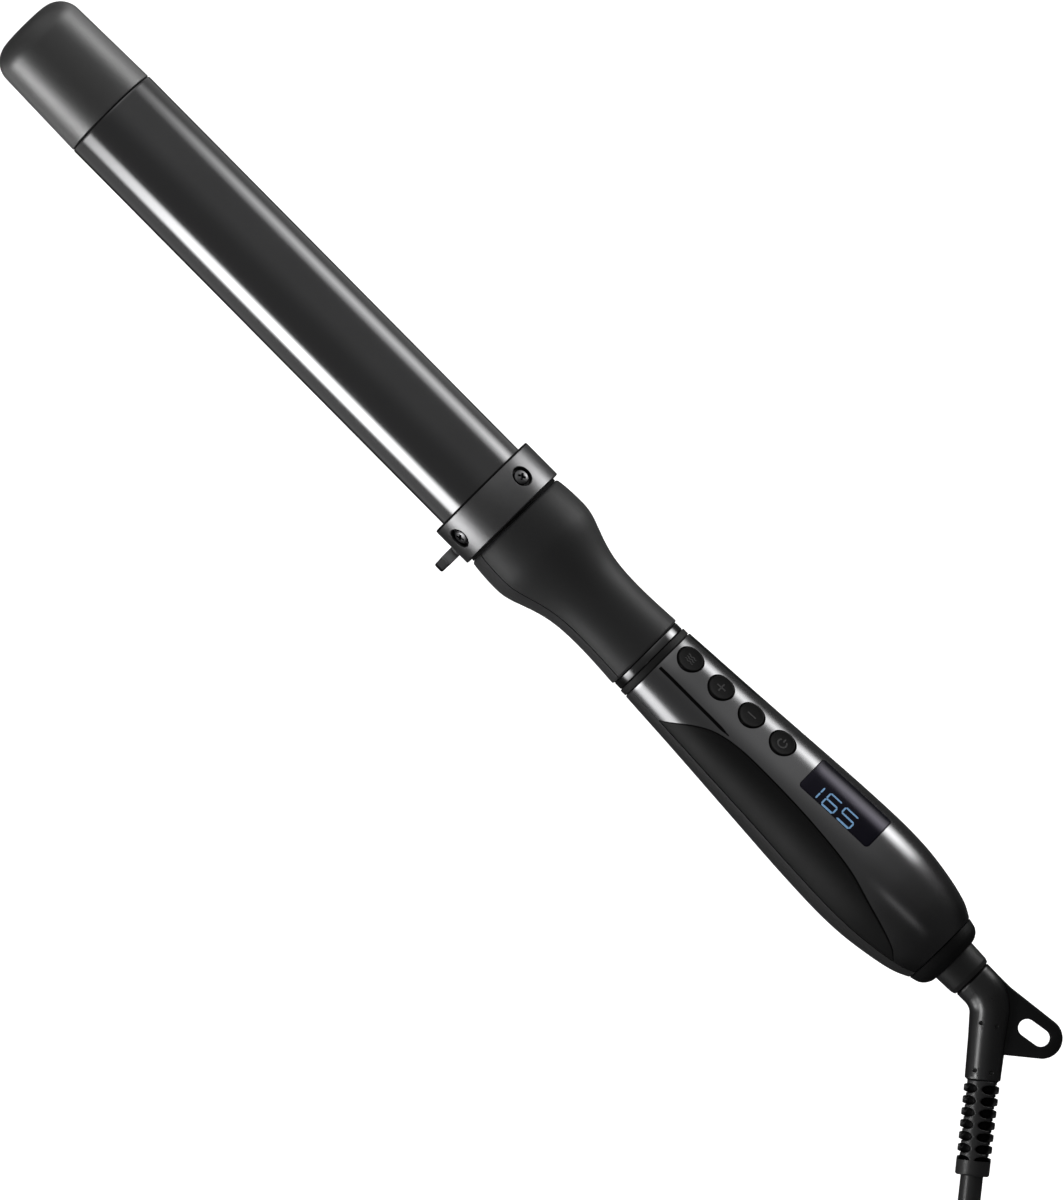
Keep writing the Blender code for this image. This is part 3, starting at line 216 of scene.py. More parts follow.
def sweep(points, radii, segments, ref):
    """Rings along a path; radii is one radius or a list of them."""
    pts = [Vector(p) for p in points]
    rings, side = [], Vector(ref)
    for i, p in enumerate(pts):
        if i == 0:
            t = (pts[1] - p).normalized()
        elif i == len(pts) - 1:
            t = (p - pts[-2]).normalized()
        else:
            t = ((pts[i + 1] - p).normalized() + (p - pts[i - 1]).normalized()).normalized()
        side = (side - t * side.dot(t)).normalized()
        other = t.cross(side)
        r = radii[i] if isinstance(radii, list) else radii
        turns = [2 * math.pi * k / segments for k in range(segments)]
        rings.append([p + side * (r * math.cos(a)) + other * (r * math.sin(a)) for a in turns])
    return rings


def refine(points, per):
    """Catmull-Rom points through a list of points, per of them to a span."""
    pts = [Vector(p) for p in points]
    out = []
    for i in range(len(pts) - 1):
        p0, p1, p2, p3 = pts[max(i - 1, 0)], pts[i], pts[i + 1], pts[min(i + 2, len(pts) - 1)]
        for k in range(per):
            t = k / per
            out.append(0.5 * ((2 * p1) + (p2 - p0) * t + (2 * p0 - 5 * p1 + 4 * p2 - p3) * t * t
                              + (3 * p1 - p0 - 3 * p2 + p3) * t**3))
    return out + [pts[-1]]


def tool(bm, centre=AXIS):
    """A solid for a boolean cut, which removes it afterwards."""
    return piece("cutter", bm, centre=centre)


def rod(start, direction, length, radius, segments, centre=AXIS):
    steps = [(0, radius), (length, radius)]
    return tool(along(start, direction, steps, segments), centre)


def cut(obj, tools, operation="DIFFERENCE", sharp=32):
    for cutter in tools:
        mod = obj.modifiers.new("cut", "BOOLEAN")
        mod.operation, mod.solver, mod.object = operation, "EXACT", cutter
    bake(obj, sharp)
    for cutter in tools:
        bpy.data.objects.remove(cutter)
    return obj


def bake(obj, sharp=32):
    """Applies the modifiers."""
    bpy.context.view_layer.update()
    graph = bpy.context.evaluated_depsgraph_get()
    done = bpy.data.meshes.new_from_object(obj.evaluated_get(graph))
    obj.modifiers.clear()
    obj.data = done
    smooth(obj, sharp)


def bevel(obj, width, segments, angle):
    mod = obj.modifiers.new("bevel", "BEVEL")
    mod.width, mod.segments = width * MM, segments
    mod.limit_method, mod.angle_limit = "ANGLE", math.radians(angle)
    bake(obj)


def smooth_curve(stations, x):
    """Hermite values at x of a table whose first column is a falling x."""
    k = 0
    while k < len(stations) - 2 and x < stations[k + 1][0]:
        k += 1
    p1, p2 = stations[k], stations[k + 1]
    p0, p3 = stations[max(k - 1, 0)], stations[min(k + 2, len(stations) - 1)]
    h = p2[0] - p1[0]
    s = min(max((x - p1[0]) / h, 0.0), 1.0)
    out = []
    for c in range(1, len(p1)):
        m1 = (p2[c] - p0[c]) / (p2[0] - p0[0]) * h if p0 is not p1 else (p2[c] - p1[c])
        m2 = (p3[c] - p1[c]) / (p3[0] - p1[0]) * h if p3 is not p2 else (p2[c] - p1[c])
        out.append((2 * s**3 - 3 * s**2 + 1) * p1[c] + (s**3 - 2 * s**2 + s) * m1
                   + (-2 * s**3 + 3 * s**2) * p2[c] + (s**3 - s**2) * m2)
    return out


def spaced(a, b, n):
    return [a + (b - a) * i / (n - 1) for i in range(n)]


# ---------------------------------------------------------------- node graphs
class Graph:
    """Short calls for adding nodes; any input takes a value or a socket to link."""

    def __init__(self, tree):
        self.tree = tree

    def feed(self, node, inputs):
        for key, value in inputs.items():
            if isinstance(value, bpy.types.NodeSocket):
                self.tree.links.new(value, node.inputs[key])
            else:
                node.inputs[key].default_value = value

    def node(self, kind, inputs=None, **settings):
        node = self.tree.nodes.new(kind)
        for key, value in settings.items():
            setattr(node, key, value)
        self.feed(node, inputs or {})
        return node

    def math(self, operation, *values):
        inputs = dict(enumerate(values))
        return self.node("ShaderNodeMath", inputs, operation=operation).outputs[0]

    def vector(self, operation, *values, output="Value"):
        inputs = dict(enumerate(values))
        return self.node("ShaderNodeVectorMath", inputs, operation=operation).outputs[output]

    def remap(self, value, source, target):
        """Maps the source range (min, max) to the target range."""
        inputs = {"Value": value, "From Min": source[0], "From Max": source[1],
                  "To Min": target[0], "To Max": target[1]}
        return self.node("ShaderNodeMapRange", inputs).outputs["Result"]

    def mix(self, factor, a, b, data_type="RGBA"):
        inputs = {"Factor": factor, "A": a, "B": b}
        return self.node("ShaderNodeMix", inputs, data_type=data_type).outputs["Result"]

    def darken(self, colour, level):
        return self.mix(level, (0, 0, 0, 1), colour)

    def noise(self, vec, scale, detail=3.0, rough=0.55):
        inputs = {"Scale": scale, "Detail": detail, "Roughness": rough, "Vector": vec}
        return self.node("ShaderNodeTexNoise", inputs).outputs["Fac"]

    def separate(self, vec):
        return self.node("ShaderNodeSeparateXYZ", {0: vec}).outputs

    def bump(self, height, distance_mm, normal):
        inputs = {"Strength": 1.0, "Distance": distance_mm * MM, "Height": height}
        if normal:
            inputs["Normal"] = normal
        return self.node("ShaderNodeBump", inputs).outputs["Normal"]

    def rounded_normal(self, radius_mm):
        node = self.node("ShaderNodeBevel", {"Radius": radius_mm * MM}, samples=4)
        return node.outputs["Normal"]

    def object_mm(self):
        """Object coordinates in millimetres."""
        coords = self.node("ShaderNodeTexCoord").outputs["Object"]
        inputs = {"Vector": coords, "Scale": (1000, 1000, 1000)}
        return self.node("ShaderNodeMapping", inputs).outputs["Vector"]


def new_material(name):
    mat = bpy.data.materials.new(name)
    mat.use_nodes = True
    return mat, Graph(mat.node_tree), mat.node_tree.nodes["Principled BSDF"]


MATERIALS = {}


def surface(name, base, rough, metallic=0.0, spec=0.5, grain=(), rough_var=0.05, tint_var=0.12,
            brushed=None, wear_and_edge_highlight=0.0, wear_and_highlight_colour=None, round_mm=0.0, sheen=0.0, coat=0.0,
            coat_rough=0.06, painted_hollow_shade=0.0, spec_tint=None, shade=None):
    """A Principled material in millimetre texture space.

    rough_var and tint_var set a broad drift; grain is a row of bumps (noise scale, height in mm)
    and brushed is a bump in rings about X (density, height in mm). wear_and_edge_highlight paints
    the edges in wear_and_highlight_colour: worn edges on the metals, a painted highlight on the
    tip's edges. round_mm softens them, painted_hollow_shade paints shade into hollows of that depth
    in mm, and shade is a function that paints a brightness over the object: painted shade on the
    elbow and the ribbed sleeve, a plain darkening on the stand's wide lower part.
    """
    mat, g, principled = new_material(name)
    vec = g.object_mm()
    broad = g.noise(vec, 0.06)
    mid = g.noise(vec, 0.7, 4.0, 0.6)
    # Tint and roughness drift.
    tint = g.math("ADD", g.math("MULTIPLY", broad, 0.6), g.math("MULTIPLY", mid, 0.4))
    colour = g.mix(tint, (*[c * (1 - tint_var) for c in base], 1),
                   (*[min(c * (1 + tint_var), 1) for c in base], 1))
    drift = g.math("ADD", g.math("MULTIPLY", g.math("SUBTRACT", broad, 0.5), rough_var * 1.6),
                   g.math("MULTIPLY", g.math("SUBTRACT", mid, 0.5), rough_var))
    roughness = g.math("ADD", drift, rough)
    # Relief.
    normal = g.rounded_normal(round_mm) if round_mm else None
    for scale, height in grain:
        normal = g.bump(g.noise(vec, scale, 3.0, 0.6), height, normal)
    if brushed:
        density, height = brushed
        place = g.separate(vec)
        around = g.math("ARCTAN2", place["Y"], place["Z"])
        stretched = g.node("ShaderNodeCombineXYZ", {
            "X": g.math("MULTIPLY", place["X"], density), "Y": g.math("MULTIPLY", around, 1.2)})
        lines = g.noise(stretched.outputs[0], 1.0, 4.0, 0.7)
        normal = g.bump(lines, height, normal)
        streaks = g.math("MULTIPLY", g.math("SUBTRACT", lines, 0.5), 0.12)
        roughness = g.math("ADD", roughness, streaks)
    # An edge shows where the rounded normal turns away from the true one. Its colour is worn
    # metal on the metals and a painted highlight on the tip.
    if wear_and_edge_highlight:
        true_normal = g.node("ShaderNodeNewGeometry").outputs["Normal"]
        turn = g.vector("DOT_PRODUCT", g.rounded_normal(0.35), true_normal)
        edge = g.remap(g.math("SUBTRACT", 1.0, turn), (0.02, 0.16), (0.0, 1.0))
        mask = g.math("MULTIPLY", edge, g.remap(mid, (0.38, 0.62), (0.0, wear_and_edge_highlight)))
        colour = g.mix(mask, colour, (*wear_and_highlight_colour, 1))
        roughness = g.math("SUBTRACT", roughness, g.math("MULTIPLY", mask, 0.08))
    # Painted shade: hollows and the shade function dim the colour and the reflections together.
    specular, coat_weight = spec, coat
    if painted_hollow_shade:
        occlusion = g.node("ShaderNodeAmbientOcclusion", {"Distance": painted_hollow_shade * MM}, samples=6)
        open_sky = g.remap(occlusion.outputs["AO"], (0.4, 0.9), (0.02, 1.0))
        colour = g.darken(colour, open_sky)
        specular = g.math("MULTIPLY", open_sky, spec)
        if coat:
            coat_weight = g.math("MULTIPLY", open_sky, coat)
    if shade:
        level = shade(g, vec)
        colour = g.darken(colour, level)
        specular = g.math("MULTIPLY", *((specular, level) if painted_hollow_shade else (level, spec)))
    g.feed(principled, {
        "Base Color": colour, "Roughness": roughness, "Metallic": metallic,
        "Specular IOR Level": specular, "Coat Weight": coat_weight,
        "Coat Roughness": coat_rough, "Sheen Weight": sheen})
    if spec_tint:
        g.feed(principled, {"Specular Tint": (*spec_tint, 1)})
    if normal:
        g.feed(principled, {"Normal": normal})
    mat.diffuse_color = (*base, 1)
    MATERIALS[name] = mat


def elbow_painted_shade(g, vec):
    """Painted shade: darker near the elbow's own plane, as on the loop, and at the joint
    with the sleeve, where shade falls.
    """
    off_plane = g.math("ABSOLUTE", g.vector("DOT_PRODUCT", vec, NORMAL))
    plane = g.remap(off_plane, (1.7, 3.2), (0.42, 1.0))
    back = g.vector("DOT_PRODUCT", vec, Vector((-1, 0, 0)))
    return g.math("MULTIPLY", plane, g.remap(back, (201.6, 202.1), (0.06, 1.0)))


def pocket_painted_shade(g, vec):
    """Painted shade: darker towards the axis of the ribbed sleeve, in the bottoms of its pockets.
    """
    from_bend = g.vector("SUBTRACT", vec, Vector((-BEND_AT, 0, 0)), output="Vector")
    sleeve_axis = Vector((-math.cos(BEND_ANGLE), 0, 0)) - SIDE * math.sin(BEND_ANGLE)
    off_axis = g.vector("CROSS_PRODUCT", from_bend, sleeve_axis, output="Vector")
    return g.remap(g.vector("LENGTH", off_axis), (4.15, 4.95), (0.16, 1.0))


def stand_lower_darkening(g, vec):
    """Darker over the wide lower part of the stand."""
    return g.remap(g.separate(vec)["Z"], (-4.9, -4.3), (0.15, 1.0))


# ---------------------------------------------------------------- materials
# Barrel, tip, collar and stand.
surface("barrel_coating", (0.148, 0.148, 0.150), rough=0.17, metallic=1.0,
        grain=((9.0, 0.0008), (0.25, 0.002)), rough_var=0.03, tint_var=0.05)
# The tip's lighter grey edges are a painted highlight where its rounded rear edge catches light.
surface("tip_plastic", (0.0165, 0.0165, 0.0165), rough=0.42, spec=1.0,
        grain=((7.0, 0.012), (2.2, 0.01)), rough_var=0.06, wear_and_edge_highlight=1.0,
        wear_and_highlight_colour=(0.13, 0.13, 0.13))
SATIN = dict(metallic=1.0, grain=((8.0, 0.004), (0.5, 0.02)), brushed=(7.0, 0.003),
             rough_var=0.06, wear_and_edge_highlight=0.12, round_mm=0.15)
# Painted shade darkens the collar's hollows, such as its screw seats.
surface("satin_collar_metal", (0.165, 0.165, 0.167), rough=0.37, wear_and_highlight_colour=(0.3, 0.3, 0.31),
        painted_hollow_shade=1.6, **SATIN)
surface("satin_stand_metal", (0.36, 0.36, 0.365), rough=0.4, wear_and_highlight_colour=(0.5, 0.5, 0.51),
        shade=stand_lower_darkening, **SATIN)
surface("stand_foot_rubber", (0.0016, 0.0016, 0.0016), rough=0.6, spec=0.12,
        grain=((5.0, 0.015),))

# Neck and handle.
surface("soft_touch_neck", (0.016, 0.016, 0.0164), rough=0.5, spec=0.3,
        grain=((6.0, 0.012), (1.2, 0.004)), rough_var=0.04, tint_var=0.06, sheen=0.03)
# Painted shade blackens the grooves and gaps cut into the handle paint.
surface("gunmetal_handle_paint", (0.158, 0.158, 0.161), rough=0.24, metallic=1.0, coat=0.25,
        coat_rough=0.12, grain=((11.0, 0.001),), rough_var=0.03, tint_var=0.06, painted_hollow_shade=0.9)
surface("handle_lower_black", (0.012, 0.012, 0.0122), rough=0.45, spec=0.4,
        grain=((6.5, 0.012),), round_mm=0.15)
surface("grip_inlay_rubber", (0.0028, 0.0028, 0.0029), rough=0.5, spec=0.17,
        grain=((5.0, 0.012), (1.0, 0.004)), tint_var=0.1)
surface("dark_trim", (0.12, 0.12, 0.122), rough=0.16, metallic=1.0, grain=((6.0, 0.0015),),
        brushed=(5.0, 0.001), rough_var=0.04, wear_and_edge_highlight=0.3, wear_and_highlight_colour=(0.4, 0.4, 0.4))
surface("seal_silicone", (0.006, 0.006, 0.006), rough=0.6, spec=0.3, grain=((5.0, 0.015),))
# Near-black filler for gaps and grooves between parts: painted shade.
surface("gap_shade_black", (0.002, 0.002, 0.002), rough=0.7, spec=0.12, grain=((5.0, 0.01),))
surface("button_black", (0.0013, 0.0013, 0.0014), rough=0.42, spec=0.085,
        grain=((8.0, 0.008),), rough_var=0.06, round_mm=0.1)
surface("button_icon", (0.0095, 0.0095, 0.0095), rough=0.36, spec=0.3, grain=((8.0, 0.004),))

# Cord end.
surface("cord_pvc", (0.010, 0.010, 0.0103), rough=0.36, spec=0.4,
        grain=((4.0, 0.012), (0.8, 0.012)), rough_var=0.07)
# Painted shade darkens the elbow near its own plane and at the sleeve joint, and the ribbed
# sleeve's hollows and pocket bottoms.
surface("elbow_plastic", (0.0062, 0.0062, 0.0064), rough=0.3, spec=0.42,
        grain=((6.0, 0.008), (1.1, 0.006)), rough_var=0.06, round_mm=0.12, shade=elbow_painted_shade)
surface("strain_relief_pvc", (0.0095, 0.0095, 0.0097), rough=0.38, spec=0.38,
        grain=((6.0, 0.008), (1.1, 0.006)), rough_var=0.06, painted_hollow_shade=1.6, shade=pocket_painted_shade)
surface("end_cap_black", (0.0028, 0.0028, 0.0029), rough=0.5, spec=0.17, grain=((6.0, 0.014),))
surface("swivel_sleeve_black", (0.0075, 0.0075, 0.0076), rough=0.46, spec=0.32,
        grain=((6.0, 0.014),))

# Screws and inner parts.
surface("screw_steel", (0.42, 0.42, 0.43), rough=0.26, metallic=1.0, grain=((7.0, 0.004),),
        rough_var=0.08, wear_and_edge_highlight=0.5, wear_and_highlight_colour=(0.75, 0.75, 0.75), round_mm=0.08)
# Painted shade darkens the black screws' cross recesses and seats.
surface("screw_black_oxide", (0.125, 0.125, 0.128), rough=0.3, metallic=1.0,
        grain=((7.0, 0.004),), rough_var=0.08, wear_and_edge_highlight=0.6, wear_and_highlight_colour=(0.34, 0.34, 0.35),
        round_mm=0.08, painted_hollow_shade=1.0)
surface("contact_brass", (0.72, 0.52, 0.22), rough=0.24, metallic=1.0, grain=((6.0, 0.003),),
        brushed=(6.0, 0.002), rough_var=0.08)
surface("spreader_aluminium", (0.66, 0.66, 0.67), rough=0.38, metallic=1.0,
        grain=((3.0, 0.01),), brushed=(3.0, 0.006), rough_var=0.08)
surface("heater_ceramic", (0.72, 0.69, 0.62), rough=0.55, spec=0.4, grain=((3.5, 0.02),),
        rough_var=0.08)
surface("heat_proof_plastic", (0.06, 0.055, 0.05), rough=0.5, spec=0.4, grain=((4.0, 0.02),),
        rough_var=0.08)
surface("module_plastic", (0.02, 0.02, 0.02), rough=0.5, spec=0.4, grain=((5.0, 0.01),),
        rough_var=0.06)
surface("circuit_board", (0.01, 0.09, 0.035), rough=0.35, grain=((2.0, 0.02),),
        rough_var=0.12, tint_var=0.35)
WIRE = dict(grain=((4.0, 0.01),), rough_var=0.08)
surface("wire_brown", (0.085, 0.03, 0.012), rough=0.42, **WIRE)
surface("wire_blue", (0.012, 0.05, 0.26), rough=0.42, **WIRE)
surface("wire_white", (0.7, 0.7, 0.68), rough=0.45, **WIRE)
surface("copper_strand", (0.8, 0.36, 0.2), rough=0.28, metallic=1.0, grain=((5.0, 0.03),),
        rough_var=0.1)

# Display.
surface("lens_gloss", (0.0022, 0.0022, 0.0048), rough=0.2, spec=0.2, grain=((0.4, 0.001),),
        rough_var=0.03, tint_var=0.1, round_mm=0.1, spec_tint=(0.86, 0.80, 1.0))


def display_glow():
    mat, g, principled = new_material("display_glow")
    uneven = g.noise(g.object_mm(), 1.6, 2.0)
    g.feed(principled, {
        "Base Color": (0.10, 0.16, 0.22, 1), "Roughness": 0.3,
        "Emission Color": (0.22, 0.52, 0.95, 1),
        "Emission Strength": g.remap(uneven, (0.3, 0.7), (0.2, 0.42))})
    mat.diffuse_color = (0.6, 0.8, 1, 1)
    MATERIALS["display_glow"] = mat


display_glow()

# ---------------------------------------------------------------- cool tip
TIP_R_SEAM, TIP_R_END, TIP_CORNER = 15.9, 15.25, 7.6  # radii at the seam, before and of the corner
TIP_BACK = 14.6  # radius of the tip's hollow back
CORNER_X = TIP_X1 - TIP_CORNER


def tip_profile():
    profile = [(TIP_X1, 0.0), (TIP_X1, 4.0)]
    for a in [math.radians(90 - 5 * i) for i in range(18)]:
        profile.append((TIP_X1 - TIP_CORNER * (1 - math.sin(a)),
                        TIP_R_END - TIP_CORNER * (1 - math.cos(a))))
    profile.append((CORNER_X, TIP_R_END))
    for x in spaced(CORNER_X - 3, TIP_X0 + 0.9, 8):
        flare = (TIP_R_SEAM - TIP_R_END) * (CORNER_X - x) / (CORNER_X - TIP_X0)
        profile.append((x, TIP_R_END + flare))
    seam = [(TIP_X0 + 0.9, TIP_R_SEAM), (TIP_X0, TIP_R_SEAM, 0.5), (TIP_X0, TIP_BACK)]
    profile += fillet(seam, 6)[1:]
    # The spigot inside the barrel and the cone inside the tip.
    return profile + [(157.0, TIP_BACK), (157.0, 12.6), (196.0, 12.6), (200.4, 8.5), (200.4, 0.0)]


piece("cool_tip", turned(tip_profile(), ROUND), "tip_plastic", "wand", replaces="tip_cap")

# ---------------------------------------------------------------- barrel
BARREL_BORE = BARREL_R - 1.0
barrel_profile = [(BARREL_X0, BARREL_R, 0.15)]
barrel_profile += [(x, BARREL_R) for x in spaced(4, 160, 14) + [BARREL_X1 - 1.4, BARREL_X1 - 0.7]]
barrel_profile += [(BARREL_X1, BARREL_R, 0.4), (BARREL_X1, BARREL_BORE, 0.15),
                   (BARREL_X0, BARREL_BORE, 0.15)]
barrel = piece("barrel", turned(fillet(barrel_profile, 5), ROUND), "barrel_coating")

# Painted shade: near-black rings fill the gaps between parts: name, front x, rear x, outer
# radius, inner radius.
GAP_RINGS = [
    ("tip_washer", TIP_X0 - 0.03, BARREL_X1 + 0.03, 15.3, 14.7),
    ("collar_gasket", COLLAR_X0 - 0.35, -6.12, 17.3, 16.2),
    ("ring_shim", -61.98, -62.18, 12.85, 10.5),
    ("gasket_shim", -64.92, -65.03, 12.85, 10.5),
    ("handle_shim", -67.22, -67.38, 12.9, 10.5),
]
for name, front, rear, outer, inner in GAP_RINGS:
    profile = [(front, inner), (front, outer), (rear, outer), (rear, inner)]
    piece(name, turned(profile, ROUND), "gap_shade_black", "wand")

SCREW_X, BRACKET_SCREW_X = (COLLAR_X0 + COLLAR_X1) / 2, 4.9
SCREW_HOLE_R = 1.6
holes = [(UP, SCREW_X), (LEFT, SCREW_X), (RIGHT, SCREW_X), (DOWN, BRACKET_SCREW_X)]
cut(barrel, [rod(Vector((x, 0, 0)) + d * 13, d, 5, SCREW_HOLE_R, 24) for d, x in holes])
settle(barrel, "wand", "barrel_tube")

# ---------------------------------------------------------------- collar
LIP = 0.62
COLLAR_BORE = 16.2
LIP_X = COLLAR_X1 - LIP + 0.03
collar_profile = [
    (COLLAR_X1 - LIP, COLLAR_BORE, 0.1), (COLLAR_X1 - LIP, COLLAR_R - 0.004, 0.12),
    (COLLAR_X0 - 0.3, COLLAR_R - 0.004, 0.5), (COLLAR_X0 - 0.3, COLLAR_BORE, 0.2)]
# The near-black lip round the collar's front edge is painted shade for the dark line there.
lip_profile = [(COLLAR_X1, COLLAR_BORE, 0.2), (COLLAR_X1, COLLAR_R - 0.12, 0.45),
               (LIP_X, COLLAR_R - 0.03, 0.05), (LIP_X, COLLAR_BORE)]
# A screw hole that widens to a dished seat: distance, radius.
SCREW_SEAT = [(0, SCREW_HOLE_R), (3.45, SCREW_HOLE_R), (3.6, 3.05), (4.55, 3.12), (4.95, 3.25),
              (5.4, 3.75), (7, 4.9)]

collar = piece("collar", turned(fillet(collar_profile, 7), 160), "satin_collar_metal")
piece("collar_lip", turned(fillet(lip_profile, 6), 160), "gap_shade_black", "wand")
tools = [tool(along(Vector((SCREW_X, 0, 0)) + d * 14, d, SCREW_SEAT, 56))
         for d in (UP, LEFT, RIGHT)]
tools.append(rod(Vector((BRACKET_SCREW_X, 0, 0)) + DOWN * 14, DOWN, 7, SCREW_HOLE_R, 24))
cut(collar, tools, sharp=24)
settle(collar, "wand", "collar_ring")


# ---------------------------------------------------------------- screws
def cross_arm(top, direction, across, half_length, half_width, depth):
    """One tapering arm of a cross recess, sunk from the top against the direction."""
    other = direction.cross(across).normalized()
    rings = []
    for down, taper, narrowing in ((-0.4, 1.12, 1), (depth, 0.42, 0.72)):
        p = top - direction * down
        u, v = across * (half_length * taper), other * half_width * narrowing
        rings.append([p + u + v, p - u + v, p - u - v, p + u - v])
    return loft(rings)


def screw(name, node, start, direction, across, length, shank, head, head_height, material,
          flat=False):
    """A threaded screw with radii shank and head, from its point to a crossed head."""
    start = Vector(start)
    under = length - head_height
    if flat:
        top = [(under, shank), (length - 0.15, head), (length, head - 0.08), (length, head * 0.5)]
    else:
        top = [(under, shank), (under, head - 0.12), (under + 0.12, head), (length - 0.55, head),
               (length - 0.3, head * 0.93), (length - 0.12, head * 0.75), (length, head * 0.42)]
    steps = [(0, shank * 0.45), (0.8, shank * 0.9)]
    z = 0.9
    while z < under - 0.8:
        steps += [(z, shank * 0.82), (z + 0.22, shank), (z + 0.44, shank * 0.82)]
        z += 0.5
    steps += [(under - 0.3, shank * 0.9)] + top
    obj = piece(name, along(start, direction, steps, 40), material)
    cut(obj, [tool(cross_arm(start + direction * length, direction, arm, head * 0.66,
                             head * 0.19, head_height * 0.85))
              for arm in (across, direction.cross(across).normalized())])
    settle(obj, "wand", node)


for d, place in ((UP, "top"), (LEFT, "left"), (RIGHT, "right")):
    across = FORWARD.lerp(d.cross(FORWARD), 0.35).normalized()
    screw("collar_bolt_" + place, "collar_screw_" + place, Vector((SCREW_X, 0, 0)) + d * 11.5, d,
          across, length=7.3, shank=1.25, head=2.38, head_height=1.0,
          material="screw_black_oxide")

# ---------------------------------------------------------------- stand bracket
BRACKET_X0, BRACKET_X1, BRACKET_HALF_Y = -2.2, 7.2, 6.4
EAR_INNER_Y, EAR_R = 4.75, 2.0

base = [(BRACKET_X0, -BRACKET_HALF_Y), (BRACKET_X1, -BRACKET_HALF_Y),
        (BRACKET_X1, BRACKET_HALF_Y), (BRACKET_X0, BRACKET_HALF_Y)]
bracket = piece("stand_clevis", loft([[Vector((x, y, z)) for x, y in base]
                                      for z in (-20.75, -19.45)]), "satin_collar_metal")
ear = [(-2.2, -20.0), (2.2, -20.0)]
ear += [(EAR_R * math.cos(math.pi * i / 20), HINGE_Z - EAR_R * math.sin(math.pi * i / 20))
        for i in range(21)]
cut(bracket, [tool(loft([[Vector((x, y, z)) for x, z in ear] for y in sides]))
              for sides in ((EAR_INNER_Y, BRACKET_HALF_Y), (-BRACKET_HALF_Y, -EAR_INNER_Y))],
    "UNION")
bevel(bracket, width=0.22, segments=3, angle=50)
countersink = [(0, SCREW_HOLE_R), (1.95, SCREW_HOLE_R), (2.75, 2.2), (5, 2.2)]
cut(bracket, [rod((0, -9, HINGE_Z), LEFT, 18, 1.12, 32),
              tool(along((BRACKET_SCREW_X, 0, -18), DOWN, countersink, 32))])
settle(bracket, "wand", "stand_bracket")
screw("stand_clevis_bolt", "stand_bracket_screw", (BRACKET_SCREW_X, 0, -11.5), DOWN,
      Vector((0.8, 0.6, 0)), length=9.2, shank=1.25, head=2.05, head_height=0.85,
      material="screw_black_oxide", flat=True)
pin = [(0, 0.6), (0.08, 0.85), (0.3, 1.0), (13.5, 1.0), (13.72, 0.85), (13.8, 0.6)]
piece("stand_pin", along((0, -6.9, HINGE_Z), LEFT, pin, 40), "screw_steel", "wand",
      replaces="stand_hinge_pin")

# ---------------------------------------------------------------- rest stand, about its pivot
FOOT_Z = -(HINGE_Z + AXIS_Z)  # the ground
BLADE_END = FOOT_Z + 1.45
HUB_R, NARROW_HALF, HALF_THICK = 1.9, 4.4, 1.8


def plate(z, half_width, half_thick, corner=0.55):
    """A rounded rectangle, wide in Y and thin in X."""
    pts = []
    for sx, sy, start in ((1, 1, 0), (-1, 1, 90), (-1, -1, 180), (1, -1, 270)):
        cx, cy = sx * (half_thick - corner), sy * (half_width - corner)
        for i in range(6):
            a = math.radians(start + 90 * i / 5)
            pts.append(Vector((cx + corner * math.cos(a), cy + corner * math.sin(a), z)))
    return pts


hub = [(0, 1.7), (0.2, HUB_R), (8.7, HUB_R), (8.9, 1.7)]
stand = piece("stand_leg", along((0, -4.45, 0), LEFT, hub, 48), "satin_stand_metal",
              centre=PIVOT)
blade = [plate(-0.2, NARROW_HALF, HALF_THICK), plate(-2.4, NARROW_HALF, HALF_THICK)]
for i in range(1, 9):
    t = i / 8
    ease = t * t * (3 - 2 * t)
    blade.append(plate(-2.4 - 2.4 * t, NARROW_HALF + 4.55 * ease, HALF_THICK - 0.02 * t))
blade.append(plate(BLADE_END, 8.95, 1.62))
cut(stand, [tool(loft(blade), PIVOT)], "UNION")
# A hole through the blade, flared at both faces: distance, radius.
BLADE_HOLE = [(0, 2.2), (1.9, 1.85), (2.25, 1.6), (5.75, 1.6), (6.1, 1.85), (8, 2.2)]
cut(stand, [rod((0, -9, 0), LEFT, 18, 1.1, 32, PIVOT),
            tool(along((-4, 0, -6.0), FORWARD, BLADE_HOLE, 36), PIVOT)])
settle(stand, "stand", "rest_stand")
foot = [plate(BLADE_END - 0.04, 8.85, 1.52), plate(BLADE_END - 0.1, 9.0, 1.66),
        plate(FOOT_Z + 0.45, 9.0, 1.62), plate(FOOT_Z + 0.15, 8.92, 1.54),
        plate(FOOT_Z, 8.7, 1.32, 0.45)]
piece("stand_foot", loft(foot), "stand_foot_rubber", "stand", centre=PIVOT,
      replaces="stand_foot_pad")

# ---------------------------------------------------------------- neck
# Outer radius of the neck: x, r.
NECK = [(-6.1, 17.55), (-7.4, 18.0), (-11.8, 18.42), (-16.3, 18.55), (-19.3, 18.38),
        (-22.4, 17.65), (-25.6, 16.5), (-30.0, 14.95), (-34.6, 13.75), (-39.2, 13.12),
        (-45.0, 12.85), (-51.0, 12.92), (-57.0, 13.2), (-61.9, 13.5)]
NECK_FRONT_EDGE = [(-6.15, 16.4), (-6.17, 17.0), (-6.28, 17.4), (-6.52, 17.72), (-6.92, 17.92)]
NECK_REAR_EDGE = [(-61.6, 13.45), (-61.85, 13.3), (-61.95, 13.1)]
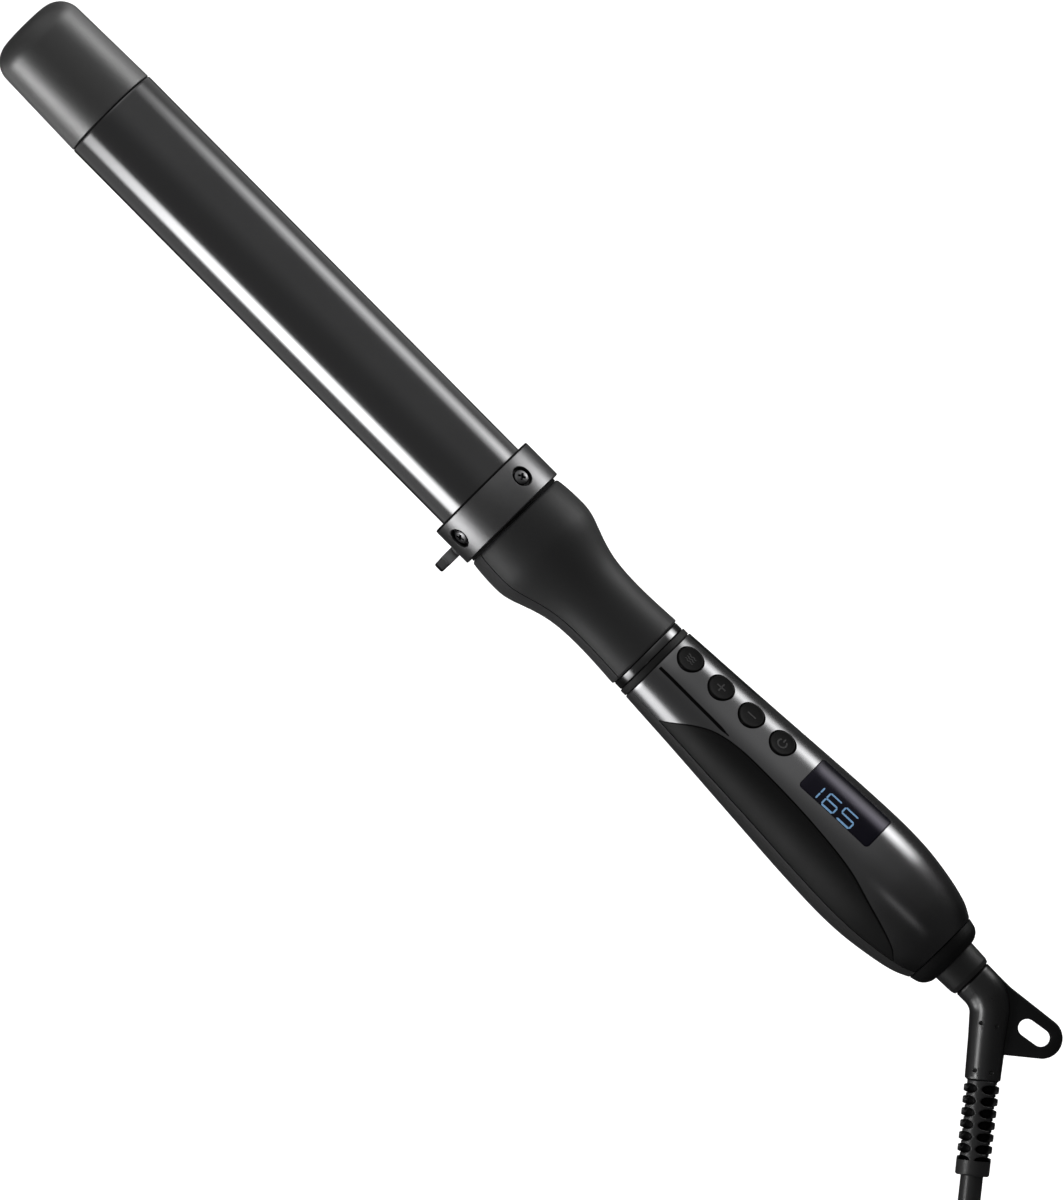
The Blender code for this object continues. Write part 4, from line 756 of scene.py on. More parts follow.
# The tongue that reaches back into the handle, then the bore from rear to front.
NECK_TONGUE = [(-61.95, 10.3), (-69.8, 10.3), (-69.8, 8.5)]
NECK_BORE = [(-61.0, 8.5), (-52.0, 10.2), (-45.0, 10.5), (-38.0, 10.8), (-30.0, 12.5),
             (-25.0, 14.2), (-21.0, 15.75), (-6.15, 15.75)]
neck_skin = [(x, smooth_curve(NECK, x)[0]) for x in spaced(-7.4, -61.2, 64)]
neck_profile = NECK_FRONT_EDGE + neck_skin + NECK_REAR_EDGE + NECK_TONGUE + NECK_BORE
neck_stations = [(x, r, r) for x, r in neck_profile]

# The button panel slopes up towards the rear.
PANEL_SLOPE = math.radians(4.9)
PANEL_UP = Vector((math.sin(PANEL_SLOPE), 0, math.cos(PANEL_SLOPE)))
PANEL_BACK = Vector((-math.cos(PANEL_SLOPE), 0, math.sin(PANEL_SLOPE)))
# Buttons from front to rear: key, x, height of the top.
BUTTONS = [("mode", -73.1, 14.45), ("plus", -85.6, 15.4), ("minus", -97.9, 16.45),
           ("power", -110.4, 17.65)]

neck_top = piece("neck_upper", half_shell(neck_stations, True, 72, 0.19), "soft_touch_neck")
cut(neck_top, [rod((BUTTONS[0][1], 0, 6.5), PANEL_UP, 9, 5.5, 48)])
settle(neck_top, "wand", "neck_upper_shell")
piece("neck_lower", half_shell(neck_stations, False, 72, 0.19), "soft_touch_neck", "wand",
      replaces="neck_lower_shell")


def edge_ring(front, rear, radius, corner, steps):
    profile = [(front, 10.5), (front, radius, corner), (rear, radius, corner), (rear, 10.5)]
    return turned(fillet(profile, steps), ROUND)


piece("neck_ring", edge_ring(-62.2, -64.9, 12.95, 0.35, 6), "dark_trim", "wand",
      replaces="neck_trim_ring")
piece("neck_gasket", edge_ring(-65.05, -67.2, 13.35, 0.2, 4), "seal_silicone", "wand",
      replaces="neck_seal_ring")

# ---------------------------------------------------------------- handle shapes
# x, half width, height above the axis, depth below it.
HANDLE = [
    (-67.4, 13.45, 14.0, 13.4), (-73.0, 13.75, 14.6, 13.75), (-85.6, 14.5, 15.5, 14.25),
    (-98.0, 15.2, 16.6, 15.1), (-110.4, 15.85, 17.9, 16.2), (-123.8, 16.6, 19.3, 17.25),
    (-137.0, 17.45, 20.35, 17.95), (-150.7, 18.1, 21.1, 18.2), (-158.2, 18.15, 21.2, 18.0),
    (-165.8, 17.75, 20.85, 17.25), (-174.8, 16.5, 19.55, 15.75), (-180.9, 15.2, 18.1, 14.5),
    (-184.4, 14.1, 16.8, 13.3), (-187.8, 12.35, 14.7, 11.9)]
# Upper edge of the grip inlays: x, degrees round from the top.
INLAY_EDGE = [
    (-79.6, 88.0), (-83.0, 74.0), (-86.3, 61.6), (-89.7, 52.0), (-93.0, 45.5), (-96.4, 41.6),
    (-99.8, 39.3), (-105.4, 37.7), (-117.5, 38.2), (-135.6, 40.8), (-151.3, 45.8),
    (-162.0, 54.6), (-171.8, 65.0), (-177.9, 76.0), (-180.6, 88.0)]
INLAY_X0, INLAY_X1 = INLAY_EDGE[0][0], INLAY_EDGE[-1][0]
INLAY_XS = ([INLAY_X0, -79.8, -80.1, -80.5] + spaced(-81.1, -179.4, 86)
            + [-179.9, -180.2, -180.45, INLAY_X1])
WALL = 2.2
# Screw posts: place, x, y.
POSTS = [("front_left", -80.0, 9.1), ("front_right", -80.0, -9.1),
         ("rear_left", -164.0, 10.5), ("rear_right", -164.0, -10.5)]


def handle_at(x):
    return smooth_curve(HANDLE, x)


def skin(x, angle, offset, side):
    """A point on the upper skin, at an angle from the top; side is 1 on the left, -1 right."""
    width, above, _ = handle_at(x)
    a = math.radians(angle)
    return Vector((x, side * (width + offset) * math.sin(a), (above + offset) * math.cos(a)))


def handle_shell(top):
    xs = ([-67.4, -67.43, -67.55] + spaced(-67.9, -187.2, 124)
          + [-187.55, -187.72, -187.8])
    rounding = {0: 0.25, 1: 0.12, 2: 0.03}  # how far the end rings draw in
    stations = [(x, rounding.get(min(k, len(xs) - 1 - k), 0.0)) for k, x in enumerate(xs)]
    stations += [(x, WALL) for x in reversed([xs[0]] + xs[6:-3:6] + [xs[-1]])]
    sizes = []
    for x, inset in stations:
        width, above, below = handle_at(x)
        sizes.append((x, width - inset, (above if top else below) - inset))
    return half_shell(sizes, top, 88, 0.05)


def inlay_edge(x):
    return smooth_curve(INLAY_EDGE, min(max(x, INLAY_X1), INLAY_X0))[0]


def inlay_pocket(side):
    rings = []
    for x in INLAY_XS:
        low = 89.9
        high = min(inlay_edge(x), low - 0.6)
        angles = [high + (low - high) * i / 14 for i in range(15)]
        outer = [skin(x, a, 1.5, side) for a in angles]
        inner = [skin(x, a, -1.2, side) for a in angles]
        outer.append(Vector((x, outer[-1].y, -1.0)))
        inner.append(Vector((x, inner[-1].y, -1.0)))
        rings.append(outer + inner[::-1])
    return loft(rings)


# Sections across the panel's seam: share of the half width, offset from the skin.
SEAM_GROOVE = [(-1.4, 0.5), (-1.0, 0.0), (-0.9, -1.1), (0.9, -1.1), (1.0, 0.0), (1.4, 0.5)]
SEAM_STRIP = [(-0.86, -0.45), (-0.84, -1.02), (0.84, -1.02), (0.86, -0.45)]


def seam_rings(section, side):
    """A section carried along the seam, which narrows at its rear end."""
    rings = []
    for x in spaced(-68.3, -97.5, 30):
        fade = min(1.0, (x + 98.3) / 4.0)
        half = math.degrees(0.5 * max(fade, 0.35) / handle_at(x)[0])
        angle = 36.8 + max(0.0, (-90.0 - x)) * 0.06
        rings.append([skin(x, angle + half * share, offset, side) for share, offset in section])
    return rings


LENS_X0, LENS_X1, LENS_HALF, LENS_CORNER = -122.5, -150.4, 6.7, 1.2


def lens_outline(grow):
    """Rounded rectangle of the display window as (x, y), grown outwards."""
    x0, x1, h = LENS_X0 + grow, LENS_X1 - grow, LENS_HALF + grow
    c = max(LENS_CORNER + grow, 0.15)
    pts = []
    centres = ((x0 - c, h - c, 0), (x1 + c, h - c, 90), (x1 + c, -h + c, 180),
               (x0 - c, -h + c, 270))
    corner_steps, edge_steps = 7, 12
    for k, (cx, cy, start) in enumerate(centres):
        for i in range(corner_steps + 1):
            a = math.radians(start + 90 * i / corner_steps)
            pts.append((cx + c * math.cos(a), cy + c * math.sin(a)))
        nx, ny, start = centres[(k + 1) % 4]
        a = math.radians(start)
        ex, ey = nx + c * math.cos(a), ny + c * math.sin(a)
        sx, sy = pts[-1]
        pts += [(sx + (ex - sx) * i / edge_steps, sy + (ey - sy) * i / edge_steps)
                for i in range(1, edge_steps)]
    return pts


def post(start, direction, length, radius, segments):
    """A post trimmed to the inside of the handle."""
    rings = []
    for x in spaced(-69.0, -184.4, 24):
        rings.append(oval(x, *[size - 0.9 for size in handle_at(x)], segments=48))
    return cut(rod(start, direction, length, radius, segments), [tool(loft(rings))], "INTERSECT")


def depth_at(x, y):
    """Depth of the handle's underside below the axis."""
    width, _, below = handle_at(x)
    return below * math.sqrt(1 - (y / width) ** 2)


# ---------------------------------------------------------------- handle, upper shell
upper = piece("handle_upper", handle_shell(True), "gunmetal_handle_paint")
tools = []
for side, hand in ((1.0, "left"), (-1.0, "right")):
    tools.append(tool(inlay_pocket(side)))
    tools.append(tool(loft(seam_rings(SEAM_GROOVE, side))))
    # A near-black strip in the bottom of each seam groove: painted shade.
    piece("seam_strip_" + hand, loft(seam_rings(SEAM_STRIP, side)[:-2]), "gap_shade_black", "wand")
for _, x, top in BUTTONS:
    tools.append(rod(Vector((x, 0, top)) - PANEL_UP * 6, PANEL_UP, 10, 4.52, 72))
tools.append(tool(loft([[Vector((x, y, z)) for x, y in lens_outline(0.09)]
                        for z in (12.0, 26.0)])))
cut(upper, tools, sharp=28)
cut(upper, [post((x, y, 0.3), UP, 21, 2.3, 28) for _, x, y in POSTS], "UNION", 28)
cut(upper, [rod((x, y, -1), UP, 8.5, 1.15, 24) for _, x, y in POSTS], sharp=28)
settle(upper, "wand", "handle_upper_shell")

# ---------------------------------------------------------------- handle, lower shell
lower = piece("handle_lower", handle_shell(False), "handle_lower_black")
posts, tools = [], []
for _, x, y in POSTS:
    posts.append(post((x, y, -0.3), DOWN, 20, 3.2, 32))
    tools.append(rod((x, y, 1), DOWN, 30, 1.5, 24))
    tools.append(rod((x, y, -depth_at(x, y) + 3.6), DOWN, 12, 2.4, 40))
cut(lower, posts, "UNION", 28)
cut(lower, tools, sharp=28)
settle(lower, "wand", "handle_lower_shell")

for k, (place, x, y) in enumerate(POSTS):
    seat = depth_at(x, y) - 3.3
    a = 0.4 + 0.9 * k  # turns each cross recess differently
    screw("handle_bolt_" + place, "handle_screw_" + place, (x, y, 5.5), DOWN,
          Vector((math.cos(a), math.sin(a), 0)), length=5.5 + seat + 1.45, shank=1.1,
          head=2.08, head_height=1.0, material="screw_steel")


# ---------------------------------------------------------------- grip inlays
def inlay(side):
    """A strip in the pocket, with rounded long edges and a little end clearance."""
    middle = (INLAY_X0 + INLAY_X1) / 2
    rings = []
    for pocket_x in INLAY_XS:
        x = middle + (pocket_x - middle) * 0.9965
        width, above, _ = handle_at(x)
        low = 90.0 - math.degrees(math.asin(0.05 / above))
        high = min(inlay_edge(x) + 0.8, low - 0.4)
        span = math.radians(low - high) * width
        edge = min(0.32, span * 0.2)
        # Distance down the strip, offset from the skin.
        section = [(edge * k / 4, -edge * (1 - math.sin(math.pi / 2 * k / 4))) for k in range(5)]
        section += [(edge + (span - 2 * edge) * k / 22, 0.0) for k in range(1, 22)]
        section += [(span - edge * (1 - k / 3),
                     -edge * 0.6 * (1 - math.cos(math.pi / 2 * k / 3))) for k in range(4)]
        face = [skin(x, high + math.degrees(s / width), off, side) for s, off in section]
        rings.append(face + [skin(x, a, -0.85, side) for a in (low, (high + low) / 2, high)])
    return loft(rings)


for hand, side in (("left", 1.0), ("right", -1.0)):
    piece("inlay_" + hand, inlay(side), "grip_inlay_rubber", "wand",
          replaces="grip_inlay_" + hand, sharp=50)


# ---------------------------------------------------------------- display
def lens_top(x, y):
    width, above, _ = handle_at(x)
    return (above + 0.12) * math.sqrt(max(1 - (y / (width + 0.12)) ** 2, 0.0))


# The window's edge from the bottom up: growth, depth below the lens surface.
LENS_EDGE = [(0.0, 1.4), (0.0, 0.3), (-0.02, 0.16), (-0.08, 0.06), (-0.18, 0.012), (-0.3, 0.0)]


def lens_mesh():
    centre_x = (LENS_X0 + LENS_X1) / 2
    rings = [[Vector((centre_x, 0, lens_top(centre_x, 0) - 1.4))]]
    for grow, down in LENS_EDGE:
        rings.append([Vector((x, y, lens_top(x, y) - down)) for x, y in lens_outline(grow)])
    for s in (0.85, 0.7, 0.55, 0.4, 0.25, 0.1):
        ring = [(centre_x + (x - centre_x) * s, y * s) for x, y in lens_outline(-0.3)]
        rings.append([Vector((x, y, lens_top(x, y))) for x, y in ring])
    rings.append([Vector((centre_x, 0, lens_top(centre_x, 0)))])
    return loft(rings)


piece("display_window", lens_mesh(), "lens_gloss", "wand", replaces="display_lens",
      sharp=50)

# The seven-segment reading 165. On a digit, p runs away from the barrel and q to the right.
DIGIT_HEIGHT, STROKE, SEGMENT_GAP = 4.3, 0.52, 0.05
# Lit segments, x of the digit's start, digit width.
DIGITS = [("BC", -124.9, 4.0), ("AFEDCG", -131.3, 4.5), ("AFGCD", -137.5, 5.0)]


def segment(bm, digit_x, p0, q0, p1, q1):
    """A segment with pointed ends, laid on the lens."""
    start, d = Vector((p0, q0)), Vector((p1 - p0, q1 - q0))
    length = d.length
    d.normalize()
    across = Vector((-d.y, d.x))
    mids = [start + d * (SEGMENT_GAP + STROKE / 2
                         + (length - 2 * SEGMENT_GAP - STROKE) * i / 5) for i in range(6)]
    outline = [start + d * SEGMENT_GAP] + [m + across * STROKE / 2 for m in mids]
    outline += [start + d * (length - SEGMENT_GAP)]
    outline += [m - across * STROKE / 2 for m in reversed(mids)]
    flat = [(digit_x - v.x, 6.35 - v.y) for v in outline]
    loft([[Vector((x, y, lens_top(x, y) + up)) for x, y in flat] for up in (-0.05, 0.03)], bm=bm)


bm = bmesh.new()
for lit, digit_x, w in DIGITS:
    h = DIGIT_HEIGHT
    ends = {"A": (0, h, w, h), "B": (w, h, w, h / 2), "C": (w, h / 2, w, 0), "D": (0, 0, w, 0),
            "E": (0, h / 2, 0, 0), "F": (0, h, 0, h / 2), "G": (0, h / 2, w, h / 2)}
    for letter in lit:
        segment(bm, digit_x, *ends[letter])
piece("display_reading", bm, "display_glow", "wand")


# ---------------------------------------------------------------- buttons
def on_button(p, q, up):
    """A point on a button: p along the panel away from the barrel, q towards the right."""
    return PANEL_BACK * p + Vector((0, -q, 0)) + PANEL_UP * up


def stroke(bm, pts, width, base, top):
    """A line of the given width through points, as one closed ribbon with square ends."""
    rings = []
    for i, p in enumerate(pts):
        d = (Vector(pts[min(i + 1, len(pts) - 1)]) - Vector(pts[max(i - 1, 0)])).normalized()
        across = Vector((-d.y, d.x)) * width / 2
        a, b = Vector(p) + across, Vector(p) - across
        rings.append([on_button(*a, base), on_button(*b, base), on_button(*b, top),
                      on_button(*a, top)])
    loft(rings, bm=bm)


# Icon strokes as (p, q): three waves, a plus in three strokes, a minus, an open ring and bar.
WAVE = [(-1.5 + 3.0 * i / 20, 0.22 * math.sin(2 * math.pi * i / 10)) for i in range(21)]
ICONS = {
    "mode": [[(p, k * 0.95 + q) for p, q in WAVE] for k in (-1, 0, 1)],
    "plus": [[(-1.6, 0), (1.6, 0)], [(0, 0.3), (0, 1.6)], [(0, -0.3), (0, -1.6)]],
    "minus": [[(-1.6, 0), (1.6, 0)]],
    "power": [[(1.45 * math.sin(math.radians(a)), 1.45 * math.cos(math.radians(a)) - 0.15)
               for a in range(38, 323, 12)], [(0, 0.35), (0, 1.75)]],
}
# A flanged button with a dished face: distance up from its bottom, radius.
KEY_DEPTH = 6.35
KEY = [(0, 1.5), (1.5, 1.5), (1.5, 5.05), (2.3, 5.05), (2.3, 4.22), (5.95, 4.22), (6.15, 4.17),
       (6.28, 4.05), (KEY_DEPTH, 3.85), (6.34, 3.65), (6.3, 3.3), (6.26, 2.6), (6.24, 1.6),
       (6.23, 0.6)]
for key, x, top in BUTTONS:
    centre = Vector((x, 0, top + AXIS_Z))
    body = key + "_key"
    piece("key_" + key, along(-PANEL_UP * KEY_DEPTH, PANEL_UP, KEY, 72), "button_black", body,
          centre=centre, replaces="button_" + key)
    bm = bmesh.new()
    for pts in ICONS[key]:
        stroke(bm, pts, width=0.36 if key == "mode" else 0.5, base=-0.18, top=-0.045)
    piece("icon_" + key, bm, "button_icon", body, centre=centre)

# ---------------------------------------------------------------- end cap and swivel
# x, half width, height above the axis, depth below it.
CAP = [(-188.1, 12.2, 14.55, 11.8), (-190.0, 11.75, 14.3, 11.2), (-191.3, 11.2, 13.9, 10.5),
       (-192.6, 10.0, 12.8, 9.0), (-193.4, 8.6, 11.2, 7.1)]
CAP_BORE = 7.75
rings = [oval(-187.95, 11.9, 14.25, 11.5), oval(-188.0, 12.1, 14.45, 11.7)]
rings += [oval(x, *smooth_curve(CAP, x)) for x in spaced(-188.1, -193.3, 22)]
rings += [oval(-193.42, 8.45, 11.0, 6.95), circle(-193.5, 8.05, ROUND, SWIVEL_Z),
          circle(-193.5, CAP_BORE, ROUND, SWIVEL_Z), circle(-185.0, CAP_BORE, ROUND, SWIVEL_Z),
          oval(-185.0, 9.7, 12.0, 9.3), oval(-187.95, 9.7, 12.0, 9.3)]
piece("rear_cap", loft(rings, wrap=True), "end_cap_black", "wand", replaces="end_cap")

# Closed profiles: x, r and the radius of a rounded corner.
SLEEVE = [(-201.1, 5.2, 0.2), (-201.1, 6.85, 0.45), (-199.7, 7.3, 0.6), (-193.6, 7.55),
          (-184.6, 7.55, 0.2), (-184.6, 9.0, 0.2), (-182.4, 9.0, 0.2), (-182.4, 7.2),
          (-179.5, 7.2, 0.2), (-179.5, 5.2)]
HUB = [(-205.0, 2.9), (-205.0, 4.85, 0.2), (-178.9, 4.85, 0.1), (-178.9, 4.2), (-177.9, 4.2),
       (-177.9, 4.85, 0.1), (-176.6, 4.85, 0.2), (-176.6, 2.5), (-171.0, 2.5, 0.2),
       (-171.0, 1.5), (-180.5, 1.5), (-183.0, 2.9)]
piece("swivel_sleeve", turned(fillet(SLEEVE, 6), 112, SWIVEL_Z), "swivel_sleeve_black", "wand",
      replaces="swivel_socket")
piece("swivel_hub", turned(fillet(HUB, 3), 64), "heat_proof_plastic", "cord_swivel",
      centre=SWIVEL, replaces="swivel_spigot")
# A near-black ring fills the gap between the sleeve and the elbow: painted shade.
SWIVEL_GAP_RING = [(-201.13, 5.3), (-201.13, 6.25), (-201.3, 6.25), (-201.3, 5.3)]
piece("swivel_washer", turned(SWIVEL_GAP_RING, 96, SWIVEL_Z), "gap_shade_black", "wand")

# ---------------------------------------------------------------- elbow, about the swivel
BEND_R = 10.0
LEG = Vector((math.cos(BEND_ANGLE), -math.sin(BEND_ANGLE)))
TANGENT = BEND_R * math.tan(BEND_ANGLE / 2)
ELBOW_LEG = 24.7  # length of the leg from the bend's corner
# Elbow radius: share of the length, radius.
ELBOW_RADII = [(0.0, 6.5), (0.22, 6.45), (0.4, 6.15), (0.6, 5.8), (1.0, 5.45)]
LOOP_CENTRE, LOOP_R = (229.0, 2.35), 6.25
SLOT_CENTRE, SLOT_HALF, SLOT_TILT = (226.2, 1.75), 2.6, math.radians(9.4)


def planar(back, side, out=0.0):
    """A point from distances towards -X, along SIDE and along NORMAL."""
    return Vector((-back, 0, 0)) + SIDE * side + NORMAL * out


def leg(d, across=0.0):
    """(back, side) of a point d along the bent leg and some way across it."""
    return (BEND_AT + LEG.x * d + across * -LEG.y, LEG.y * d + across * LEG.x)


def elbow_path(first, bend_steps, last, leg_points):
    pts = [(x, 0.0) for x in spaced(first, BEND_AT - TANGENT, 5)]
    for i in range(1, bend_steps):
        a = BEND_ANGLE * i / bend_steps
        pts.append((BEND_AT - TANGENT + BEND_R * math.sin(a), -BEND_R * (1 - math.cos(a))))
    return pts + [leg(d) for d in spaced(TANGENT, last, leg_points)]


def elbow_radius(share):
    (f0, r0), (f1, r1) = next(pair for pair in zip(ELBOW_RADII, ELBOW_RADII[1:])
                              if share <= pair[1][0])
    return r0 + (r1 - r0) * ((share - f0) / (f1 - f0))


def elbow_tube():
    """The bent tube, with both ends rounded over."""
    pts = elbow_path(201.36, 18, ELBOW_LEG, 14)
    lengths = [0.0]
    for a, b in zip(pts, pts[1:]):
        lengths.append(lengths[-1] + (Vector(b) - Vector(a)).length)
    radii = [elbow_radius(s / lengths[-1]) for s in lengths]
    line = [planar(*p) for p in pts]
    first, last = line[0], line[-1]
    d0, d1 = (line[1] - first).normalized(), (last - line[-2]).normalized()
    path = [first, first + d0 * 0.1, first + d0 * 0.4] + line[1:-1]
    path += [last - d1 * 0.35, last - d1 * 0.1, last]
    radii = ([radii[0] - 0.4, radii[0] - 0.12] + radii
             + [radii[-1] - 0.12, radii[-1] - 0.4])
    return loft(sweep(path, radii, 64, NORMAL))


def tab_outline(inset):
    """The flat tab that fills the bend and ends in the round of the loop, as (back, side)."""
    r = LOOP_R - inset
    pts = [(206.5, 2.0), (206.5, 6.42 - inset), (209.0, 6.45 - inset), (211.7, 6.52 - inset)]
    for i in range(31):
        a = math.radians(97 - i * 151 / 30)
        pts.append((LOOP_CENTRE[0] + r * math.cos(a), LOOP_CENTRE[1] + r * math.sin(a)))
    back, side = leg(16.6, 5.3)
    return pts + [(back - inset * 0.6, side + inset * 0.8), leg(14.0, 0.0)]


def slot_outline(r):
    """The long hole through the tab, as (back, side)."""
    pts = []
    cos, sin = math.cos(SLOT_TILT), math.sin(SLOT_TILT)
    for k, start in ((1, -90), (-1, 90)):
        for i in range(17):
            a = math.radians(start + 180 * i / 16)
            px, py = k * SLOT_HALF + r * math.cos(a), r * math.sin(a)
            pts.append((SLOT_CENTRE[0] + px * cos - py * sin, SLOT_CENTRE[1] + px * sin + py * cos))
    return pts


# Sections through the tab (out, inset) and its slot (out, radius).
TAB = [(-1.6, 0.55), (-1.45, 0.2), (-1.15, 0.0), (1.15, 0.0), (1.45, 0.2), (1.6, 0.55)]
SLOT = [(-3.0, 4.0), (-1.62, 3.05), (-1.3, 2.78), (-1.0, 2.7), (1.0, 2.7), (1.3, 2.78),
        (1.62, 3.05), (3.0, 4.0)]
# Small round pits on both faces: distance along the leg, across it, leg radius there.
PITS = [(7.62, -2.57, 5.9), (8.16, 2.42, 5.9), (22.0, -2.9, 5.5), (22.3, 2.2, 5.5)]
PIT = [(0, 0.5), (0.15, 0.62), (0.6, 0.62), (0.75, 0.72), (1.6, 0.9)]  # distance, radius

elbow = piece("elbow", elbow_tube(), "elbow_plastic", centre=SWIVEL)
tab = loft([[planar(b, s, out) for b, s in tab_outline(inset)] for out, inset in TAB])
cut(elbow, [tool(tab, SWIVEL)], "UNION")
bore = [planar(*p) for p in elbow_path(200.5, 10, ELBOW_LEG + 2.0, 6)]
bore_radii = [5.2 - 0.8 * min(1, i / (len(bore) - 3)) for i in range(len(bore))]
tools = [tool(loft([[planar(b, s, out) for b, s in slot_outline(r)] for out, r in SLOT]), SWIVEL),
         tool(loft(sweep(bore, bore_radii, 32, NORMAL)), SWIVEL)]
for d, across, radius in PITS:
    for face in (1.0, -1.0):
        height = math.sqrt(radius ** 2 - across * across)
        start = planar(*leg(d, across), face * (height - 0.62))
        tools.append(tool(along(start, NORMAL * face, PIT, 24), SWIVEL))
cut(elbow, tools, sharp=30)
settle(elbow, "cord_swivel", "cord_elbow")

# ---------------------------------------------------------------- ribbed sleeve
RELIEF_START, RELIEF_END = ELBOW_LEG + 0.1, 53.75  # distances along the leg
PITCH, FIRST_NOTCH, NOTCHES = 3.625, 25.67, 7
WEB = -9.0  # degrees round from NORMAL to the web
RELIEF_BORE, RELIEF_SEGMENTS = 3.62, 120


def step(x, a, b):
    t = min(max((x - a) / (b - a), 0.0), 1.0)
    return t * t * (3 - 2 * t)


def gate(x, centre, half, soft):
    rise = step(x, centre - half - soft, centre - half + soft)
    return rise * (1 - step(x, centre + half - soft, centre + half + soft))


def relief_radius(d, psi):
    """psi is the angle from the web that faces out of the elbow's plane, in degrees."""
    r = 5.4 + (5.2 - 5.4) * (d - RELIEF_START) / (RELIEF_END - RELIEF_START)
    r -= 0.35 * (1 - step(d, RELIEF_START - 0.01, RELIEF_START + 0.35))
    r -= 0.4 * step(d, RELIEF_END - 0.45, RELIEF_END)
    fold = abs((psi + 180) % 360 - 180)
    fold = min(fold, 180 - fold)  # degrees from the nearer of the two webs
    for k in range(NOTCHES):
        notch = FIRST_NOTCH + PITCH * k
        if abs(d - notch) >= 3.7:
            continue
        # A narrow notch between the webs, and a slight waist round it.
        r -= 1.15 * gate(d, notch, 0.62, 0.3) * step(fold, 52, 64)
        q = min(abs(d - notch) / (PITCH / 2), 1.0)
        r -= 0.16 * (1 - q) ** 2 * step(fold, 40, 60)
        # A rounded pocket halfway to the next notch.
        if k < NOTCHES - 1 or d < RELIEF_END - 4.6:
            pocket = notch + PITCH / 2
            q = (abs(d - pocket) / 1.42) ** 2.1 + (abs(fold - 42) / 33) ** 2.4
            r -= 1.5 * (1 - step(q, 0.75, 1.15))
    return r


def relief_ring(d, radius_at):
    """A ring across the leg; radius_at gives the radius for an angle in degrees."""
    ring = []
    for k in range(RELIEF_SEGMENTS):
        phi = 360 * k / RELIEF_SEGMENTS
        r, a = radius_at(phi), math.radians(phi)
        ring.append(planar(*leg(d, r * math.sin(a)), r * math.cos(a)))
    return ring


rings = [relief_ring(d, lambda phi: relief_radius(d, phi - WEB))
         for d in spaced(RELIEF_START, RELIEF_END, 236)]
for d, radius in ((RELIEF_END, 3.9), (RELIEF_END - 0.25, RELIEF_BORE),
                  (RELIEF_START, RELIEF_BORE)):
    rings.append(relief_ring(d, lambda phi: radius))
piece("ribbed_sleeve", loft(rings, wrap=True), "strain_relief_pvc", "cord_swivel",
      centre=SWIVEL, replaces="strain_relief", sharp=75)

# ---------------------------------------------------------------- cord
CORD_R, CORD_BORE = 3.45, 2.3
CORE_R, STRAND_BORE, STRAND_R, CORE_OFFSET = 1.05, 0.62, 0.56, 1.12
SLEEVE_END = ELBOW_LEG + 29.05
LEVEL = Vector((-0.66, 0.751, 0.0))  # the cord levels out this way


def cord_path():
    """Straight through the sleeve, then curving level to a cut end."""
    direction = (planar(*leg(1.0)) - planar(*leg(0.0))).normalized()
    pts = [planar(*leg(d)) for d in (14.0, SLEEVE_END - 14, SLEEVE_END, SLEEVE_END + 8.5)]
    for i in range(1, 6):
        pts.append(pts[-1] + direction.lerp(LEVEL, i / 5).normalized() * 2.4)
    return refine(pts + [pts[-1] + LEVEL.normalized() * 5.99], 6)


def hollow(path, outer, inner, segments):
    rings = sweep(path, outer, segments, NORMAL) + sweep(path, inner, segments, NORMAL)[::-1]
    return loft(rings, wrap=True)


cord_line = cord_path()
piece("cord", hollow(cord_line, CORD_R, CORD_BORE, 48), "cord_pvc", "cord_swivel",
      centre=SWIVEL, replaces="power_cord", sharp=60)

core_line = [planar(191.0, 0.0), planar(198.0, 0.0)]
core_line += [planar(*p) for p in elbow_path(204.5, 6, 12.0, 3)[4:]] + cord_line
frames = sweep(core_line, 1.0, 4, NORMAL)
for core, side, colour in (("core_live", 1.0, "wire_brown"), ("core_neutral", -1.0, "wire_blue")):
    line = [p + (ring[0] - p).normalized() * CORE_OFFSET * side
            for ring, p in zip(frames, core_line)]
    piece(core, hollow(line, CORE_R, STRAND_BORE, 24), colour, "cord_swivel", centre=SWIVEL,
          replaces="cord_" + core, sharp=60)
    piece(core + "_strands", loft(sweep(line[-6:], STRAND_R, 20, NORMAL)), "copper_strand",
          "cord_swivel", centre=SWIVEL, sharp=60)

# ---------------------------------------------------------------- CAD nodes that stay
CAD_MATERIALS = {
    "heater_ceramic": ("tip_insulator_plug", "ptc_heater", "thermistor"),
    "spreader_aluminium": ("heat_spreader_upper", "heat_spreader_lower"),
    "screw_steel": ("heater_leaf_spring", "thermal_fuse", "swivel_retaining_clip"),
    "heat_proof_plastic": ("barrel_flange", "mains_capacitor", "switch_mode", "switch_plus",
                           "switch_minus", "switch_power"),
    "circuit_board": ("control_board", "power_board"),
    "module_plastic": ("display_module",),
    "contact_brass": ("contact_ring", "contact_pin", "brush_contact_pin", "brush_contact_ring"),
    "wire_brown": ("heater_lead_live",),
    "wire_blue": ("heater_lead_neutral",),
    "wire_white": ("sensor_lead",),
}
material_of = {node: material for material, nodes in CAD_MATERIALS.items() for node in nodes}
for node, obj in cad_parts.items():
    if obj.hide_render:
        continue
    obj.data.materials.clear()
    obj.data.materials.append(MATERIALS[material_of[node]])
    smooth(obj, 35)


